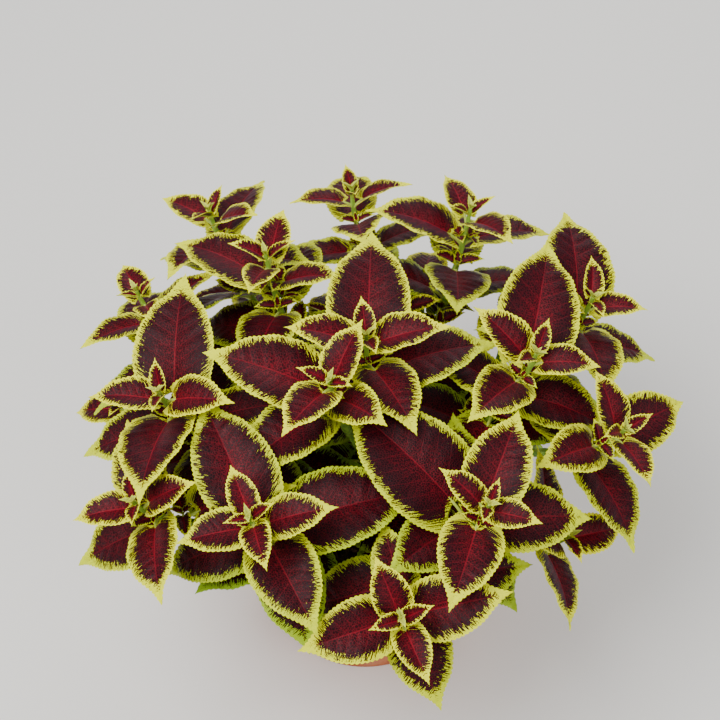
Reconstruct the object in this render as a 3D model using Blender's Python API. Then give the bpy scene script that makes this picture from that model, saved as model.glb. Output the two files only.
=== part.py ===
"""A coleus in a plain clay pot: eight leafy stems that stand in the pot's soil.

Every stem is one solid: a square stalk, its side branches, and pairs of toothed leaves that cross each
other at right angles down each shoot. The origin is the middle of the pot's flat underside, +Z is up,
and the shoots lean a little towards -Y, the side that the light comes from. Lengths are in metres.
"""

import itertools
import math
import random
from dataclasses import dataclass, replace

import bmesh
import bpy
import numpy as np
from mathutils import Matrix, Vector
from mathutils.bvhtree import BVHTree

MM = 0.001

# The pot
POT_HEIGHT = 150 * MM
POT_BASE_RADIUS = 74 * MM
POT_BODY_RADIUS = 97 * MM
POT_FOOT_BEVEL = 2 * MM
RIM_RADIUS = 105 * MM
RIM_HEIGHT = 26 * MM
RIM_ROUND = 3 * MM
POT_WALL = 5.5 * MM
POT_FLOOR = 7 * MM
POT_SIDES = 36
DRAIN_RADIUS = 5 * MM
DRAIN_CIRCLE = 44 * MM
DRAIN_COUNT = 4
DRAIN_SIDES = 12

# The soil
SOIL_TOP = 136 * MM
SOIL_CROWN = 5 * MM
SOIL_SHOULDER = 2 * MM
SOIL_GAP = 0.3 * MM
SOIL_RINGS = 4
SOIL_RELIEF = 1.6 * MM
SOIL_CLEAR = 144 * MM
HOLE_DEPTH = 42 * MM
HOLE_GAP = 0.4 * MM
HOLE_SIDES = 8

# The stalks. A handle is how long a curve keeps its first or last direction, as a share of its reach.
STALK_RADIUS = 4.2 * MM
BRANCH_RADIUS = 3.3 * MM
TIP_RADIUS = 1.3 * MM
THINNING = 1.5
STALK_RINGS = 9
COLLAR = 4 * MM
FOOT_SPREAD = 0.36
FOOT_SPLAY = 0.5
STALK_HANDLES = (0.35, 0.42)
BRANCH_RING = 3
BRANCH_SPLAY = 0.3
BRANCH_HANDLES = (0.25, 0.4)
LIGHT_LEAN = math.radians(4)
OUTWARD_LEAN = math.radians(15)
MOST_REACH = 190 * MM
LEVEL_DROP = 60 * MM
LEAN_STEP = 8 * MM

# The leaves: one entry for each pair down a shoot, the youngest first
PAIR_DROP = tuple(drop * MM for drop in (2, 7, 16, 34, 56, 80, 104, 128, 150, 172))
PAIR_RISE = (64, 46, 32, 26, 19, 10, 4, 0, 0, 12)
PAIR_BEND = (24, 32, 36, 38, 40, 42, 44, 44, 40, 44)
PAIR_FOLD = (34, 24, 15, 10, 7, 5, 5, 5, 5, 5)
PAIR_TEETH = (1, 2, 4, 4, 4, 3, 3, 3, 3, 3)
BUD_LENGTH = 13
LOW_LENGTHS = (88, 84, 78, 70, 68)
SLENDER, BROAD = 0.34, 0.66
BROAD_FROM = 50 * MM
PETIOLE_LEAST = 1.5 * MM
PETIOLE_SHARE = 0.14
PETIOLE_WIDTH = 1.25 * MM
PETIOLE_CURL = math.radians(24)
PETIOLE_RINGS = (0.0, 1.0)
RIB_THICKNESS = 1.5 * MM
TIP_THICKNESS_SHARE = 0.5
FULL_THICKNESS_FROM = 40 * MM
BUD_THICKNESS_SHARE = 0.4
TOOTH = 0.014
TOOTHLESS_ENDS = (5, 4)
BASE_LOBE = 0.19
LOBE_FADE = 4
WIDEST_A, WIDEST_B = 0.52, 1.12
TIP_FROM, TIP_TO, TIP_DRAWN = 0.62, 0.96, 0.42

# How far the leaves vary, either way: in degrees, or as a share
WAY_DRAW, RISE_DRAW, BEND_DRAW, FOLD_DRAW, ROLL_DRAW = 3, 4, 8, 3, 7
LENGTH_DRAW, WIDTH_DRAW = 0.03, 0.06

# How far a leaf may give way to its neighbours, in the order in which the ways are tried
SIZE_STEPS = (1.0, 0.9, 0.8, 0.7, 0.6)
TURN_STEPS = (0, 8, -8, 16, -16)
RISE_STEPS = (0, -6, 6, -12, 12, -18, 18, -26, 26)
CLEAR_AROUND = 1.1 * MM


@dataclass(frozen=True)
class Shoot:
    """A growing tip in mm, with the pairs of leaves below it.

    A leaf is its length in mm with its petiole, and the way it points in degrees round from +X. A third
    number is the rise of a leaf that stands steeper or flatter than its pair's usual rise. More pairs
    follow lower down, as many as low says, each at right angles to the one above it. Close draws the
    pairs together. An under shoot fills the room below the others: its leaves give way to all of theirs.
    """

    tip: tuple
    pairs: tuple
    low: int = 0
    close: float = 1.0
    under: bool = False


# Each stem has its main shoot first, then its side branches
STEMS = {
    "stem_centre": (
        Shoot(
            (1, 2, 330),
            (
                ((34, 95), (30, -72)),
                ((62, 178), (62, 6)),
                ((106, 88, 34), (76, -62, 25)),
                ((100, 8, 26), (88, 184)),
            ),
            low=5,
        ),
        Shoot(
            (-24, -35, 328),
            (
                ((28, 168), (24, -32)),
                ((54, 60), (60, -122)),
                ((98, 160), (60, -42)),
                ((84, 66), (96, -141)),
                ((92, 0, 16), (66, 182)),
            ),
            close=0.8,
        ),
        Shoot(
            (-26, 100, 238),
            (((28, 12), (28, 188)), ((56, 96), (50, -80)), ((76, 10), (70, 186))),
            under=True,
        ),
    ),
    "stem_left": (
        Shoot(
            (-142, -28, 306),
            (
                ((29, 95), (26, -95)),
                ((60, -16), (56, 176)),
                ((106, 82, 30), (98, -96)),
                ((84, 4), (90, 184)),
            ),
            low=5,
        ),
        Shoot(
            (-166, 73, 294),
            (((20, 30), (20, -150)), ((46, 112), (40, -62)), ((62, 28), (62, -150))),
            low=2,
        ),
        Shoot(
            (-178, 20, 232),
            (((26, 70), (26, -110)), ((54, 160), (44, -20)), ((70, 80), (66, -100))),
            under=True,
        ),
    ),
    "stem_back_left": (
        Shoot(
            (-72, 90, 315),
            (
                ((33, 174), (28, 12)),
                ((54, 75), (50, -104)),
                ((90, 150, 30), (62, -14)),
                ((84, 74), (80, -104)),
            ),
            low=5,
        ),
        Shoot(
            (-118, 158, 288),
            (
                ((28, 60), (28, -120)),
                ((52, 150), (52, -30)),
                ((84, 66), (76, -116)),
                ((80, 150), (80, -30)),
            ),
            low=1,
        ),
        Shoot(
            (-92, 132, 236),
            (((30, 100), (30, -80)), ((60, 12), (56, 190)), ((78, 98), (72, -82))),
            under=True,
        ),
    ),
    "stem_back": (
        Shoot(
            (79, 148, 301),
            (
                ((26, 24), (24, -156)),
                ((50, 114), (58, -60)),
                ((76, 10), (84, 178)),
                ((80, 86), (90, -92, 22)),
            ),
            low=5,
        ),
        Shoot(
            (-10, 176, 292),
            (
                ((28, 100), (28, -80)),
                ((52, 10), (52, -170)),
                ((80, 98), (76, -84)),
                ((78, 8), (78, -172)),
            ),
            low=1,
        ),
        Shoot((28, 92, 264), (((16, 80), (16, -100)), ((36, 176), (32, 4)), ((46, 88), (40, -88)))),
        Shoot(
            (46, 140, 236),
            (((30, 170), (30, -10)), ((60, 84), (56, -96)), ((78, 176), (74, -4))),
            under=True,
        ),
    ),
    "stem_right": (
        Shoot(
            (119, -1, 314),
            (
                ((31, 74), (30, -134)),
                ((60, 146), (52, -7)),
                ((112, 83, 32), (80, -130)),
                ((84, 160), (84, -14)),
            ),
            low=5,
        ),
        Shoot(
            (180, -44, 284),
            (((28, 30), (28, -150)), ((52, 118), (50, -66)), ((78, 32), (70, -148))),
            low=1,
        ),
    ),
    "stem_back_right": (
        Shoot(
            (165, 64, 297),
            (
                ((37, 98), (28, -82)),
                ((44, 176), (48, -4)),
                ((106, 99, 34), (84, -82)),
                ((84, 6), (78, -172)),
            ),
            low=5,
        ),
        Shoot(
            (122, 122, 240),
            (((30, 60), (30, -120)), ((60, 148), (56, -32)), ((78, 62), (72, -118))),
            under=True,
        ),
    ),
    "stem_front_right": (
        Shoot(
            (82, -121, 306),
            (
                ((22, 72), (22, -108)),
                ((46, 148), (42, -20)),
                ((84, 71), (80, -110)),
                ((126, 139, 15), (92, 4)),
            ),
            low=5,
        ),
        Shoot(
            (24, -184, 266),
            (
                ((28, 20), (28, -160)),
                ((50, 112), (52, -68)),
                ((80, 14), (78, -164)),
                ((60, 104), (80, -76)),
            ),
            low=1,
        ),
        Shoot(
            (142, -96, 230),
            (((28, 110), (28, -70)), ((56, 20), (54, 200)), ((72, 106), (72, -74))),
            under=True,
        ),
    ),
    "stem_front_left": (
        Shoot(
            (-76, -130, 305),
            (
                ((24, 16), (22, -164)),
                ((42, 109), (44, -72)),
                ((60, 6), (58, -168)),
                ((106, 114, 24), (88, -66)),
                ((112, 14), (92, -168)),
            ),
            low=4,
            close=0.8,
        ),
        Shoot(
            (-156, -104, 284),
            (((28, 96), (28, -84)), ((50, 6), (50, -174)), ((78, 100), (76, -82))),
            low=1,
        ),
    ),
}


def clear_scene():
    """Removes whatever the scene holds."""
    for obj in list(bpy.data.objects):
        bpy.data.objects.remove(obj)


def finish(name, colour, roughness):
    """A plain Principled material."""
    material = bpy.data.materials.new(name)
    material.use_nodes = True
    shader = material.node_tree.nodes["Principled BSDF"]
    shader.inputs["Base Color"].default_value = (*colour, 1.0)
    shader.inputs["Roughness"].default_value = roughness
    shader.inputs["Metallic"].default_value = 0.0
    return material


def add_object(name, points, faces, material):
    """An object from the points and faces of a closed shape, with its faces turned outwards."""
    mesh = bpy.data.meshes.new(name)
    mesh.from_pydata([tuple(map(float, p)) for p in points], [], faces)
    mesh.materials.append(material)
    build = bmesh.new()
    build.from_mesh(mesh)
    bmesh.ops.recalc_face_normals(build, faces=build.faces)
    build.to_mesh(mesh)
    build.free()
    obj = bpy.data.objects.new(name, mesh)
    bpy.context.scene.collection.objects.link(obj)
    return obj


def turned(profile, sides):
    """Points and faces of a closed profile of (radius, height), which starts and ends on the axis."""
    points = [(0.0, 0.0, profile[0][1])]
    for radius, height in profile[1:-1]:
        for k in range(sides):
            angle = 2 * math.pi * k / sides
            points.append((radius * math.cos(angle), radius * math.sin(angle), height))
    points.append((0.0, 0.0, profile[-1][1]))
    faces = []
    last = len(points) - 1
    rings = len(profile) - 2
    for k in range(sides):
        after = (k + 1) % sides
        faces.append((0, 1 + after, 1 + k))
        for ring in range(rings - 1):
            low, high = 1 + ring * sides, 1 + (ring + 1) * sides
            faces.append((low + k, low + after, high + after, high + k))
        top = 1 + (rings - 1) * sides
        faces.append((last, top + k, top + after))
    return points, faces


def combine(obj, operation, others):
    """Cuts the others from the object or joins them to it, and removes them."""
    group = bpy.data.collections.new(operation)
    for other in others:
        bpy.context.scene.collection.objects.unlink(other)
        group.objects.link(other)
    modifier = obj.modifiers.new(operation, "BOOLEAN")
    modifier.operation = operation
    modifier.operand_type = "COLLECTION"
    modifier.collection = group
    graph = bpy.context.evaluated_depsgraph_get()
    obj.data = bpy.data.meshes.new_from_object(obj.evaluated_get(graph))
    obj.modifiers.remove(modifier)
    for other in others:
        bpy.data.objects.remove(other)
    bpy.data.collections.remove(group)


def add_drill(centre, radius, low, high, sides, material):
    """An upright round cutter."""
    profile = [(0.0, low), (radius, low), (radius, high), (0.0, high)]
    drill = add_object("drill", *turned(profile, sides), material)
    drill.data.transform(Matrix.Translation((centre[0], centre[1], 0.0)))
    return drill


def inner_radius(height):
    """The pot's inner radius at a height: the body's taper, less the wall."""
    share = height / POT_HEIGHT
    return POT_BASE_RADIUS + (POT_BODY_RADIUS - POT_BASE_RADIUS) * share - POT_WALL


def make_pot(material):
    """The tapered pot with its thick rim, and its drain holes round the middle of the floor."""
    under_rim = POT_HEIGHT - RIM_HEIGHT
    rounding = POT_HEIGHT - RIM_ROUND
    profile = [
        (0.0, 0.0),
        (POT_BASE_RADIUS - POT_FOOT_BEVEL, 0.0),
        (POT_BASE_RADIUS, POT_FOOT_BEVEL),
        (inner_radius(under_rim) + POT_WALL, under_rim),
        (RIM_RADIUS - RIM_ROUND, under_rim),
        (RIM_RADIUS - RIM_ROUND / 3, under_rim + RIM_ROUND),
        (RIM_RADIUS, rounding),
        (RIM_RADIUS - RIM_ROUND, POT_HEIGHT),
        (inner_radius(rounding) + RIM_ROUND / 2, POT_HEIGHT),
        (inner_radius(rounding), rounding),
        (inner_radius(POT_FLOOR), POT_FLOOR),
        (0.0, POT_FLOOR),
    ]
    pot = add_object("pot", *turned(profile, POT_SIDES), material)
    drains = []
    for k in range(DRAIN_COUNT):
        angle = 2 * math.pi * (k + 0.5) / DRAIN_COUNT
        centre = (DRAIN_CIRCLE * math.cos(angle), DRAIN_CIRCLE * math.sin(angle))
        drains.append(add_drill(centre, DRAIN_RADIUS, -POT_FLOOR, 2 * POT_FLOOR, DRAIN_SIDES, material))
    combine(pot, "DIFFERENCE", drains)
    return pot


def soil_height(radius):
    """The height of the soil's surface, a low crown in the middle."""
    return SOIL_TOP + SOIL_CROWN * (1 - (radius / POT_BODY_RADIUS) ** 2)


def make_soil(feet, material):
    """The soil that fills the pot, crumbly on top, with a plain hole for each stem."""
    draw = random.Random("soil")
    base = POT_FLOOR + SOIL_GAP
    shoulder = SOIL_TOP - SOIL_SHOULDER
    edge = inner_radius(shoulder) - SOIL_GAP
    rings = [(inner_radius(base) - SOIL_GAP, base, 0.0), (edge, shoulder, 0.0)]
    for k in range(SOIL_RINGS):
        radius = (edge - SOIL_SHOULDER) * (1 - k / SOIL_RINGS)
        rings.append((radius, soil_height(radius), SOIL_RELIEF))
    points = [(0.0, 0.0, base)]
    for radius, height, relief in rings:
        for k in range(POT_SIDES):
            angle = 2 * math.pi * k / POT_SIDES
            bump = relief * draw.uniform(-1, 1)
            points.append((radius * math.cos(angle), radius * math.sin(angle), height + bump))
    points.append((0.0, 0.0, soil_height(0.0)))
    faces = []
    for k in range(POT_SIDES):
        after = (k + 1) % POT_SIDES
        faces.append((0, 1 + after, 1 + k))
        for ring in range(len(rings) - 1):
            low, high = 1 + ring * POT_SIDES, 1 + (ring + 1) * POT_SIDES
            faces.append((low + k, low + after, high + k))
            faces.append((low + after, high + after, high + k))
        faces.append((len(points) - 1, high + k, high + after))
    soil = add_object("soil", points, faces, material)
    wall = STALK_RADIUS + HOLE_GAP
    holes = [add_drill(foot, wall, foot.z - SOIL_GAP, POT_HEIGHT, HOLE_SIDES, material) for foot in feet]
    combine(soil, "DIFFERENCE", holes)
    return soil


@dataclass(frozen=True)
class Route:
    """A stalk's centre line, from its foot to its growing tip."""

    places: np.ndarray
    foot_radius: float

    def lengths(self):
        """The distance along the line to each of its points."""
        steps = np.linalg.norm(np.diff(self.places, axis=0), axis=1)
        return np.concatenate([[0.0], np.cumsum(steps)])

    def below_tip(self, drop):
        """The point this far below the tip."""
        lengths = self.lengths()
        at = lengths[-1] - drop
        return Vector([np.interp(at, lengths, self.places[:, k]) for k in range(3)])

    def lean(self, drop):
        """The way that leaves face here: along the stalk at its tip, and more upright lower down."""
        along = (self.below_tip(drop) - self.below_tip(drop + LEAN_STEP)).normalized()
        return (along + Vector((0.0, 0.0, drop / LEVEL_DROP))).normalized()

    def radius(self, share):
        """The stalk thins towards its tip."""
        return self.foot_radius + (TIP_RADIUS - self.foot_radius) * share**THINNING


def tip_lean(tip):
    """The direction that a shoot ends in: up, outwards, and towards the light."""
    out = math.tan(OUTWARD_LEAN) / MOST_REACH
    return Vector((tip.x * out, tip.y * out - math.tan(LIGHT_LEAN), 1.0)).normalized()


def bezier(start, leave, arrive, end, count):
    """Points on a cubic curve."""
    shares = np.linspace(0.0, 1.0, count)[:, None]
    rest = 1 - shares
    curve = rest**3 * np.array(start) + 3 * rest**2 * shares * np.array(leave)
    return curve + 3 * rest * shares**2 * np.array(arrive) + shares**3 * np.array(end)


def trunk_route(shoot):
    """The main stalk: straight up out of its hole, then over to its tip."""
    tip = Vector(shoot.tip) * MM
    across = Vector((tip.x, tip.y, 0.0)) * FOOT_SPREAD
    foot = across + Vector((0.0, 0.0, SOIL_TOP - HOLE_DEPTH))
    collar = across + Vector((0.0, 0.0, soil_height(across.length) + COLLAR))
    reach = (tip - collar).length
    leave = collar + across * FOOT_SPLAY + Vector((0.0, 0.0, reach * STALK_HANDLES[0]))
    arrive = tip - tip_lean(tip) * reach * STALK_HANDLES[1]
    curve = bezier(collar, leave, arrive, tip, STALK_RINGS)
    return Route(np.vstack([np.array(foot), curve]), STALK_RADIUS)


def branch_route(shoot, trunk):
    """A side branch, which leaves the main stalk low down."""
    tip = Vector(shoot.tip) * MM
    start = Vector(trunk.places[BRANCH_RING])
    reach = (tip - start).length
    across = Vector((tip.x - start.x, tip.y - start.y, 0.0))
    leave = start + across * BRANCH_SPLAY + Vector((0.0, 0.0, reach * BRANCH_HANDLES[0]))
    arrive = tip - tip_lean(tip) * reach * BRANCH_HANDLES[1]
    return Route(bezier(start, leave, arrive, tip, STALK_RINGS), BRANCH_RADIUS)


def tube_faces(rings):
    """The faces of a tube of four-cornered rings, closed at its first ring."""
    faces = [(3, 2, 1, 0)]
    for ring in range(rings - 1):
        for k in range(4):
            low, after = ring * 4 + k, ring * 4 + (k + 1) % 4
            faces.append((low, after, after + 4, low + 4))
    return faces


def stalk_mesh(route, grow=0.0):
    """Points and faces of a square stalk along its route."""
    places = route.places
    lengths = route.lengths()
    points = []
    side = np.array((1.0, 0.0, 0.0))
    for k, place in enumerate(places):
        ahead = places[min(k + 1, len(places) - 1)] - places[max(k - 1, 0)]
        ahead = ahead / np.linalg.norm(ahead)
        side = side - ahead * (side @ ahead)
        side = side / np.linalg.norm(side)
        across = np.cross(ahead, side)
        radius = route.radius(lengths[k] / lengths[-1]) + grow
        for way in (side, across, -side, -across):
            points.append(place + way * radius)
    top = (len(places) - 1) * 4
    return points, [*tube_faces(len(places)), (top, top + 1, top + 2, top + 3)]


@dataclass(frozen=True)
class Leaf:
    """One leaf. Its way is an angle round the stalk, and its rise is the slope of the blade's base."""

    root: Vector
    lean: Vector
    way: float
    rise: float
    bend: float
    fold: float
    roll: float
    length: float
    width: float
    petiole: float
    teeth: int

    def petiole_line(self, shares):
        """Distances out and up, and slopes, along the petiole: an arc that levels off into the blade."""
        steep = self.rise + PETIOLE_CURL
        slope = steep - PETIOLE_CURL * shares
        radius = self.petiole / PETIOLE_CURL
        return radius * (np.sin(steep) - np.sin(slope)), radius * (np.cos(slope) - np.cos(steep)), slope

    def rib_line(self, shares):
        """Distances out and up, and slopes, along the rib: an arc that bends down from the blade's base."""
        out, up, _ = self.petiole_line(1.0)
        slope = self.rise - self.bend * shares
        radius = self.length / self.bend
        out = out + radius * (np.sin(self.rise) - np.sin(slope))
        return out, up + radius * (np.cos(slope) - np.cos(self.rise)), slope

    def place(self, line, across, lift):
        """World points at distances across the leaf and off its face, from places on its petiole or rib."""
        out, up, slope = line
        aside = across * math.cos(self.roll) - lift * math.sin(self.roll)
        lift = across * math.sin(self.roll) + lift * math.cos(self.roll)
        local = np.broadcast_arrays(out - lift * np.sin(slope), aside, up + lift * np.cos(slope))
        upright = Vector((0.0, 0.0, 1.0)).rotation_difference(self.lean).to_matrix()
        turn = np.array(upright @ Matrix.Rotation(self.way, 3, "Z"))
        return np.stack(local, axis=-1) @ turn.T + np.array(self.root)

    def half_width(self, shares):
        """Half the blade's width, without its teeth: an egg shape that draws out into a point."""
        widest = WIDEST_A / (WIDEST_A + WIDEST_B)
        most = widest**WIDEST_A * (1 - widest) ** WIDEST_B
        tip = np.clip((shares - TIP_FROM) / (TIP_TO - TIP_FROM), 0.0, 1.0)
        drawn = 1 - TIP_DRAWN * tip**2 * (3 - 2 * tip)
        return self.width / 2 * shares**WIDEST_A * (1 - shares) ** WIDEST_B / most * drawn

    def swept(self, shares):
        """Where along the rib the margin lies: swept back near the base, into lobes on a broad leaf."""
        lobe = BASE_LOBE * (self.width / self.length / BROAD) ** 2
        return shares - lobe * (1 - shares) ** LOBE_FADE


def blade_mesh(leaf, grow=0.0):
    """Points and faces of a petiole and its toothed blade.

    The margins are sharp, and both faces rise to the rib and are split into triangles alike.
    """
    small = min(1.0, leaf.length / FULL_THICKNESS_FROM)
    small = BUD_THICKNESS_SHARE + (1 - BUD_THICKNESS_SHARE) * small
    wide, thick = (PETIOLE_WIDTH + grow) * small, (RIB_THICKNESS / 2 + grow) * small
    corners = ((wide, 0.0), (0.0, thick), (-wide, 0.0), (0.0, -thick))
    points = []
    for share in PETIOLE_RINGS:
        points += [leaf.place(leaf.petiole_line(share), *corner) for corner in corners]
    faces = tube_faces(len(PETIOLE_RINGS))
    base, first = len(points) - 4, len(points)
    count = 2 * leaf.teeth

    shares = np.arange(1, count) / count
    crest = np.where(np.arange(1, count) % 2 == 1, 1.0, -1.0)
    fade = np.minimum(1.0, np.minimum(TOOTHLESS_ENDS[0] * shares, TOOTHLESS_ENDS[1] * (1 - shares)))
    half = leaf.half_width(shares) + TOOTH * leaf.length * crest * fade + grow
    line = leaf.rib_line(leaf.swept(shares))
    for side in (1, -1):
        points += list(leaf.place(line, side * half * math.cos(leaf.fold), half * math.sin(leaf.fold)))

    shares = np.arange(2, count, 2) / count
    lift = thick * (1 - (1 - TIP_THICKNESS_SHARE) * shares)
    for side in (1, -1):
        points += list(leaf.place(leaf.rib_line(shares), 0.0, side * lift))
    points.append(leaf.place(leaf.rib_line(1.0 + grow / leaf.length), 0.0, 0.0))
    tip = len(points) - 1

    margin, rib = count - 1, leaf.teeth - 1
    left = [base, *range(first, first + margin), tip]
    right = [base + 2, *range(first + margin, first + 2 * margin), tip]
    above = [base + 1, *range(tip - 2 * rib, tip - rib), tip]
    below = [base + 3, *range(tip - rib, tip), tip]
    for edge, middle in itertools.product((left, right), (above, below)):
        faces += web_faces(edge, middle)
    return points, faces


def web_faces(edge, middle):
    """Triangles between a margin and a rib, which has a point for every second one of the margin."""
    faces = []
    for tooth in range(len(middle) - 1):
        near, far = middle[tooth : tooth + 2]
        before, crest, after = edge[2 * tooth : 2 * tooth + 3]
        faces += [(near, before, crest), (near, crest, far)]
        if far != after:
            faces.append((far, crest, after))
    return faces


def tree_of(points, faces):
    """A search tree over a shape, and its lowest and highest corners."""
    points = np.array(points)
    return BVHTree.FromPolygons([Vector(p) for p in points], faces), points.min(axis=0), points.max(axis=0)


def apart(one, other):
    """Whether two shapes are clear of each other."""
    if (one[1] > other[2]).any() or (other[1] > one[2]).any():
        return True
    return not one[0].overlap(other[0])


class Thicket:
    """The room that the pot, the stalks and the leaves take up, to find where one more leaf fits."""

    def __init__(self, routes):
        """Starts with every stalk, by its stem's name and its number there, and with the pot."""
        self.stalks = {}
        for name, its in routes.items():
            for number, route in enumerate(its):
                self.stalks[name, number] = tree_of(*stalk_mesh(route, CLEAR_AROUND))
        edge, top = RIM_RADIUS + CLEAR_AROUND, POT_HEIGHT + CLEAR_AROUND
        self.pot = tree_of(*turned([(0.0, 0.0), (edge, 0.0), (edge, top), (0.0, SOIL_CLEAR)], POT_SIDES))
        self.leaves = []

    def has_room(self, shoot, rank, shape):
        """Whether a leaf would be clear of everything but its own stalk, its bud and its own pair."""
        if not apart(shape, self.pot):
            return False
        if any(key != shoot and not apart(shape, stalk) for key, stalk in self.stalks.items()):
            return False
        for other_shoot, other_rank, other in self.leaves:
            meets = other_shoot == shoot and (rank < 2 or other_rank == rank)
            if not meets and not apart(shape, other):
                return False
        return True

    def settle(self, shoot, rank, wish):
        """Puts a leaf in the first pose that has room, and returns it, or None if no pose has."""
        for size, turn, rise in itertools.product(SIZE_STEPS, TURN_STEPS, RISE_STEPS):
            leaf = replace(
                wish,
                length=wish.length * size,
                width=wish.width * size,
                way=wish.way + math.radians(turn),
                rise=wish.rise + math.radians(rise),
            )
            shape = tree_of(*blade_mesh(leaf, CLEAR_AROUND))
            if self.has_room(shoot, rank, shape):
                self.leaves.append((shoot, rank, shape))
                return leaf
        return None


def pair_plan(shoot):
    """The shoot's pairs of leaves from the top, the bud first."""
    pairs = [across_from(shoot.pairs[0], BUD_LENGTH), *shoot.pairs]
    for length in LOW_LENGTHS[: shoot.low]:
        pairs.append(across_from(pairs[-1], length))
    return pairs


def across_from(pair, length):
    """A pair of leaves at right angles to another."""
    return tuple((length, way + 90) for _, way, *_ in pair)


def wanted_leaf(route, drop, rank, plan, draw):
    """The leaf as it would grow with nothing in its way."""
    length, way, *steep = plan
    rise = steep[0] if steep else PAIR_RISE[rank]
    full = length * MM * (1 + draw.uniform(-LENGTH_DRAW, LENGTH_DRAW))
    broad = min(1.0, full / BROAD_FROM)
    petiole = PETIOLE_LEAST + PETIOLE_SHARE * full * broad
    blade = full - petiole
    breadth = SLENDER + (BROAD - SLENDER) * broad
    return Leaf(
        root=route.below_tip(drop),
        lean=route.lean(drop),
        way=math.radians(way + draw.uniform(-WAY_DRAW, WAY_DRAW)),
        rise=math.radians(rise + draw.uniform(-RISE_DRAW, RISE_DRAW)),
        bend=math.radians(PAIR_BEND[rank] + draw.uniform(-BEND_DRAW, BEND_DRAW)),
        fold=math.radians(PAIR_FOLD[rank] + draw.uniform(-FOLD_DRAW, FOLD_DRAW)),
        roll=math.radians(draw.uniform(-ROLL_DRAW, ROLL_DRAW)),
        length=blade,
        width=blade * breadth * (1 + draw.uniform(-WIDTH_DRAW, WIDTH_DRAW)),
        petiole=petiole,
        teeth=PAIR_TEETH[rank],
    )


def grow_leaves(routes):
    """The leaves of each stem. They give way to those already there: upper pairs first, under shoots last."""
    thicket = Thicket(routes)
    leaves = {name: [] for name in STEMS}
    shoots = [(name, number, shoot) for name, its in STEMS.items() for number, shoot in enumerate(its)]
    turns = itertools.product((False, True), range(len(PAIR_DROP)), shoots)
    for under, rank, (name, number, shoot) in turns:
        pairs = pair_plan(shoot)
        if shoot.under != under or rank >= len(pairs):
            continue
        for side, plan in enumerate(pairs[rank]):
            draw = random.Random(f"{name} {number} {rank} {side}")
            wish = wanted_leaf(routes[name][number], PAIR_DROP[rank] * shoot.close, rank, plan, draw)
            leaf = thicket.settle((name, number), rank, wish)
            if leaf:
                leaves[name].append(leaf)
    return leaves


def plan_routes():
    """The stalks of each stem: the main one, then the branches."""
    routes = {}
    for name, (first, *others) in STEMS.items():
        trunk = trunk_route(first)
        routes[name] = [trunk, *(branch_route(shoot, trunk) for shoot in others)]
    return routes


def make_stem(name, leaves, routes, material):
    """A leafy stem in one solid."""
    trunk, *branches = [add_object(name, *stalk_mesh(route), material) for route in routes]
    blades = [add_object("leaf", *blade_mesh(leaf), material) for leaf in leaves]
    combine(trunk, "UNION", branches + blades)
    return trunk


def main():
    """Builds the pot, the soil and the leafy stems."""
    clear_scene()
    clay = finish("clay", (0.48, 0.20, 0.11), 0.85)
    compost = finish("compost", (0.035, 0.022, 0.015), 0.95)
    foliage = finish("foliage", (0.19, 0.02, 0.045), 0.45)
    routes = plan_routes()
    leaves = grow_leaves(routes)
    make_pot(clay)
    feet = [Vector(its[0].places[0]) for its in routes.values()]
    make_soil(feet, compost)
    for name in STEMS:
        make_stem(name, leaves[name], routes[name], foliage)


main()
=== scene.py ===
"""A coleus in a clay pot: the looks of every surface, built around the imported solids.

The leafy stems are laid out by the same rule as the solids that they replace, and then made finely: each
leaf is a thin closed blade with a crenate margin, sunken veins and quilted skin between them. Lengths are
in metres, but for the plan of the shoots and the pattern of the leaves, which are in mm.
"""

from __future__ import annotations

import itertools
import logging
import math
import random
from dataclasses import dataclass, field, replace
from enum import Enum

import bpy
import numpy as np
from mathutils import Matrix, Vector
from mathutils.bvhtree import BVHTree


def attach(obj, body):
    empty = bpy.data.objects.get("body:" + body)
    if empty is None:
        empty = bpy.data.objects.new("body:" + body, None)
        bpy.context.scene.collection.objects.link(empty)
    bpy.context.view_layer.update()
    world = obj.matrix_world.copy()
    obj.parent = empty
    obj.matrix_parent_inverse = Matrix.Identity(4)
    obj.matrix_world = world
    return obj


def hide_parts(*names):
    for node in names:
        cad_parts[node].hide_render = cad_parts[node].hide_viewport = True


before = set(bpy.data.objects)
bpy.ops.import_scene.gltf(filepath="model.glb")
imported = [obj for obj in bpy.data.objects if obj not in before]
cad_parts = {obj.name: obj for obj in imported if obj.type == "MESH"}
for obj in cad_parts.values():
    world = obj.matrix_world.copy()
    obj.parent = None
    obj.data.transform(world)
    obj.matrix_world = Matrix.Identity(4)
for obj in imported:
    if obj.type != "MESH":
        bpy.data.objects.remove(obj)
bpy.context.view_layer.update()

log = logging.getLogger("coleus")

MM = 0.001
ROOT_BODY = "root"
SHARP_FROM = math.radians(60)

Colour = tuple[float, float, float]
Ends = tuple[float, float]
Node = bpy.types.Node
Socket = bpy.types.NodeSocket
Material = bpy.types.Material
Shape = tuple[BVHTree, np.ndarray, np.ndarray]

# A tube's points, its radius at each of them, and what its finish reads there
Path = tuple[np.ndarray, np.ndarray, np.ndarray]
UP = Vector((0.0, 0.0, 1.0))

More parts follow.
